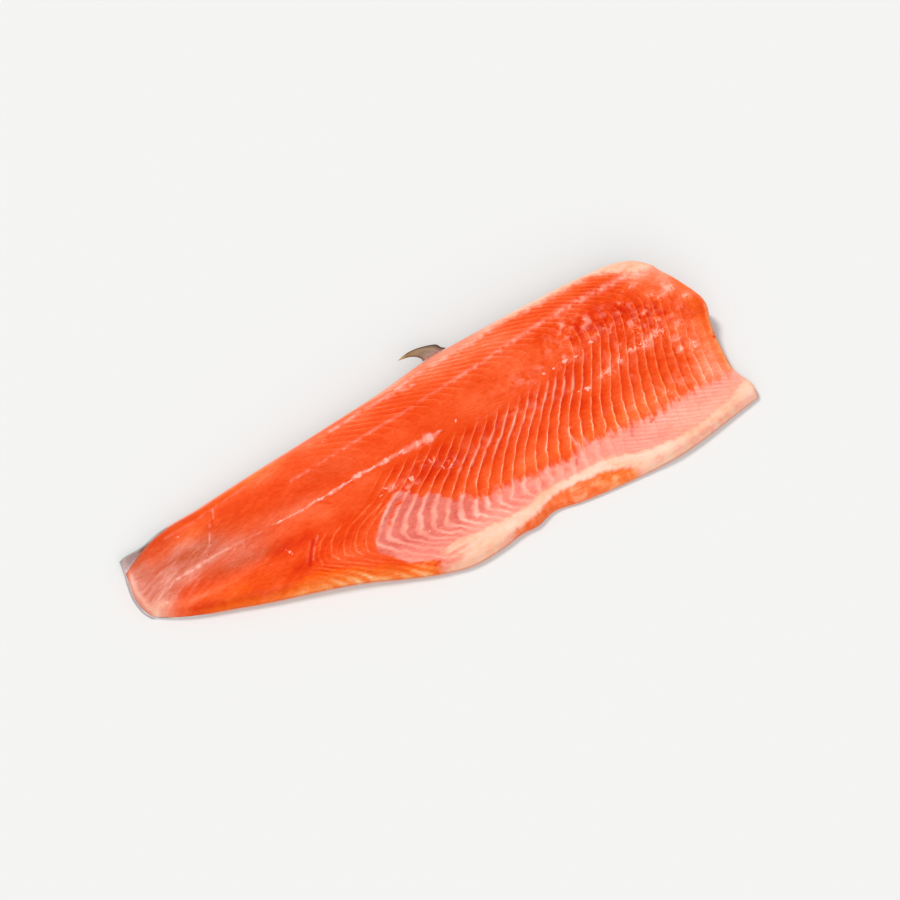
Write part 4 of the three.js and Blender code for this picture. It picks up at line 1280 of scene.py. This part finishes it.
def fresh_trout_skin():
    """Moist trout skin: fine scales, dark and spotted to the back, silver to the belly, pearly inside."""
    material, tree = new_material("moist_fine_scaled_trout_skin")
    field = {
        name: add(tree, "ShaderNodeAttribute", {}, attribute_name=name).outputs["Fac"]
        for name in ("towards_back", "outside", "cut_edge", "lip")
    }
    place = add(tree, "ShaderNodeTexCoord", {}).outputs["Object"]

    # Outside, from the silver belly over a pink stripe to the dark back, with round dark spots
    sides = fill_ramp(add(tree, "ShaderNodeValToRGB", {0: field["towards_back"]}), [
        (0, "#E6E2DC"), (0.3, "#CFCFCC"), (0.5, "#C9A9A6"), (0.62, "#9A9C96"), (0.85, "#4E5648"),
        (1, "#3E4638"),
    ])
    to_spot = add(tree, "ShaderNodeTexVoronoi", {
        "Vector": place, "Scale": per_mm(SPOT_SPACING),
    }).outputs["Distance"]
    spot = add(tree, "ShaderNodeMapRange", {
        0: to_spot, 1: SPOT_EDGE[0], 2: SPOT_EDGE[1], 3: 0, 4: 1,
    }).outputs[0]
    spot_share = add(tree, "ShaderNodeMapRange", {
        0: field["towards_back"], 1: SPOTS_START[0], 2: SPOTS_START[1], 3: 0, 4: SPOT_STRENGTH,
    }).outputs[0]
    spotting = add(tree, "ShaderNodeMath", {0: spot, 1: spot_share}, operation="MULTIPLY").outputs[0]

    # Inside, the pearly layer below the flesh
    clouds = add(tree, "ShaderNodeTexNoise", {
        "Vector": place, "Scale": per_mm(PEARL_PATCH), "Detail": 3,
    }).outputs[0]
    colour = fill_ramp(add(tree, "ShaderNodeValToRGB", {0: clouds}), [
        (0.35, "#BDB4B0"), (0.5, "#D5CFCE"), (0.65, "#EAE6E6"),
    ])
    spotted = add(tree, "ShaderNodeMix", {
        FACTOR: spotting, COLOUR_A: sides, COLOUR_B: linear("#23241F"),
    }, data_type="RGBA").outputs[MIXED]
    # The pale peach cut edge is partly the skin's cut and partly painted light where the edge lies in
    # shade.
    grey_lip, pale_cut_and_painted_light = linear("#9C9092"), linear("#F7A184")
    for part, cover in (("outside", spotted), ("lip", grey_lip), ("cut_edge", pale_cut_and_painted_light)):
        colour = add(tree, "ShaderNodeMix", {
            FACTOR: field[part], COLOUR_A: colour, COLOUR_B: cover,
        }, data_type="RGBA").outputs[MIXED]

    to_scale = add(tree, "ShaderNodeTexVoronoi", {
        "Vector": place, "Scale": per_mm(SCALE_SIZE),
    }).outputs["Distance"]
    bump = add(tree, "ShaderNodeBump", {
        "Height": to_scale, "Distance": SCALE_BUMP * MM, "Strength": 0.4,
    }).outputs[0]
    surface = add(tree, "ShaderNodeBsdfPrincipled", {
        "Base Color": colour,
        "Roughness": 0.32,
        "IOR": 1.4,
        "Coat Weight": 0.4,
        "Coat Roughness": 0.15,
        "Normal": bump,
    })
    add(tree, "ShaderNodeOutputMaterial", {"Surface": surface.outputs[0]})
    return material


def brown_fin():
    """Fin: a horny web over thin rays, dark at its front edge and ochre at its tip."""
    material, tree = new_material("brown_horny_fin_web")
    field = {
        name: add(tree, "ShaderNodeAttribute", {}, attribute_name=name).outputs["Fac"]
        for name in ("to_tip", "across")
    }
    place = add(tree, "ShaderNodeTexCoord", {}).outputs["Object"]
    # The root end is pale: partly its own grey-pink, partly painted light on the end face that lies in
    # shade by the flesh.
    lengthwise = fill_ramp(add(tree, "ShaderNodeValToRGB", {0: field["to_tip"]}), [
        (0, "#F0D2C6"), (0.03, "#C4A79C"), (0.14, "#A08A7C"), (0.35, "#8F7860"), (0.6, "#97795A"),
        (0.85, "#86643E"), (1, "#D2A866"),
    ])
    edge = fill_ramp(add(tree, "ShaderNodeValToRGB", {0: field["across"]}), [
        (0, "#B89A72"), (0.15, "#FFFFFF"), (0.7, "#FFFFFF"), (0.92, "#8E7C66"), (1, "#6E5E4A"),
    ])
    edged = add(tree, "ShaderNodeMix", {
        FACTOR: 1.0, COLOUR_A: lengthwise, COLOUR_B: edge,
    }, data_type="RGBA", blend_type="MULTIPLY").outputs[MIXED]

    # The rays run from the root to the tip: light and dark streaks, about nine side by side.
    along_rays = add(tree, "ShaderNodeCombineXYZ", {0: field["to_tip"], 1: field["across"]}).outputs[0]
    stretched = add(tree, "ShaderNodeMapping", {
        "Vector": along_rays, "Scale": (1.6, FIN_RAYS, 1),
    }).outputs[0]
    rays = add(tree, "ShaderNodeTexNoise", {"Vector": stretched, "Scale": 1.0, "Detail": 3}).outputs[0]
    light = add(tree, "ShaderNodeMapRange", {0: rays, 1: 0.3, 2: 0.7, 3: 0.72, 4: 1.25}).outputs[0]
    colour = add(tree, "ShaderNodeVectorMath", {0: edged, 1: light}, operation="MULTIPLY").outputs[0]
    uneven = add(tree, "ShaderNodeTexNoise", {
        "Vector": place, "Scale": per_mm(FIN_PATCH), "Detail": 4,
    }).outputs[0]
    bump = add(tree, "ShaderNodeBump", {
        "Height": uneven, "Distance": FIN_BUMP * MM, "Strength": 0.4,
    }).outputs[0]
    surface = add(tree, "ShaderNodeBsdfPrincipled", {
        "Base Color": colour,
        "Roughness": 0.5,
        "IOR": 1.45,
        "Subsurface Weight": 0.1,
        "Subsurface Radius": (1.0, 0.6, 0.3),
        "Subsurface Scale": 0.8 * MM,
        "Normal": bump,
    })
    add(tree, "ShaderNodeOutputMaterial", {"Surface": surface.outputs[0]})
    return material


def matt_white_paper():
    """Plain matt studio paper, pale and even."""
    material, tree = new_material("matt_studio_paper")
    surface = add(tree, "ShaderNodeBsdfPrincipled", {
        "Base Color": linear("#D6D6D5"),
        "Roughness": 0.9,
        "Specular IOR Level": 0.0,
    })
    add(tree, "ShaderNodeOutputMaterial", {"Surface": surface.outputs[0]})
    return material


# ---------------------------------------------------------------- pieces
def dress(piece, node, material, shift):
    """Puts a piece in the row frame, gives it its material, hangs it on the root body and hides the model
    part it replaces.
    """
    piece.data.transform(Matrix.Translation(shift))
    piece.data.materials.append(material)
    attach(piece, "root")
    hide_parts(node)


flesh = make_flesh()
low_corner = Vector(np.array([v.co for v in flesh.data.vertices]).min(0))
cad_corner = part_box("flesh")[0]
to_row_frame = Vector((cad_corner.x - low_corner.x, cad_corner.y - low_corner.y, 0))
dress(flesh, "flesh", wet_raw_flesh(), to_row_frame)
dress(make_skin(), "skin", fresh_trout_skin(), to_row_frame)
dress(make_fin(), "back_fin", brown_fin(), to_row_frame)

# ---------------------------------------------------------------- floor and light
FLOOR_SIZE = 12
SKY_STRENGTH = 0.56
MAIN_LAMP = {"strength": 2.15, "spread": 14, "elevation": 52, "from": (-0.5, 0.87)}
FILL_LAMP = {"strength": 1.4, "spread": 60, "elevation": 35, "from": (-0.3, -0.95)}


def lay_floor():
    half = FLOOR_SIZE / 2
    corners = [(-half, -half, 0), (half, -half, 0), (half, half, 0), (-half, half, 0)]
    mesh = bpy.data.meshes.new("floor")
    mesh.from_pydata(corners, [], [(0, 1, 2, 3)])
    floor = bpy.data.objects.new("floor", mesh)
    floor.data.materials.append(matt_white_paper())
    bpy.context.scene.collection.objects.link(floor)


def hang_lamp(name, lamp):
    light = bpy.data.lights.new(name, "SUN")
    light.energy = lamp["strength"]
    light.angle = math.radians(lamp["spread"])
    piece = bpy.data.objects.new(name, light)
    rise = math.radians(lamp["elevation"])
    direction = Vector((*lamp["from"], 0)).normalized() * math.cos(rise) + Vector((0, 0, math.sin(rise)))
    piece.rotation_euler = direction.to_track_quat("Z", "Y").to_euler()
    bpy.context.scene.collection.objects.link(piece)


def light_scene():
    """Soft light from all round, a broad lamp from behind at the left, and a faint one in front."""
    world = bpy.data.worlds.new("studio")
    bpy.context.scene.world = world
    world.use_nodes = True
    tree = world.node_tree
    tree.nodes.clear()
    sky = add(tree, "ShaderNodeBackground", {"Color": (1, 1, 1, 1), "Strength": SKY_STRENGTH})
    add(tree, "ShaderNodeOutputWorld", {"Surface": sky.outputs[0]})
    hang_lamp("broad_lamp", MAIN_LAMP)
    hang_lamp("fill_lamp", FILL_LAMP)


lay_floor()
light_scene()
bpy.context.scene.view_settings.view_transform = "Standard"
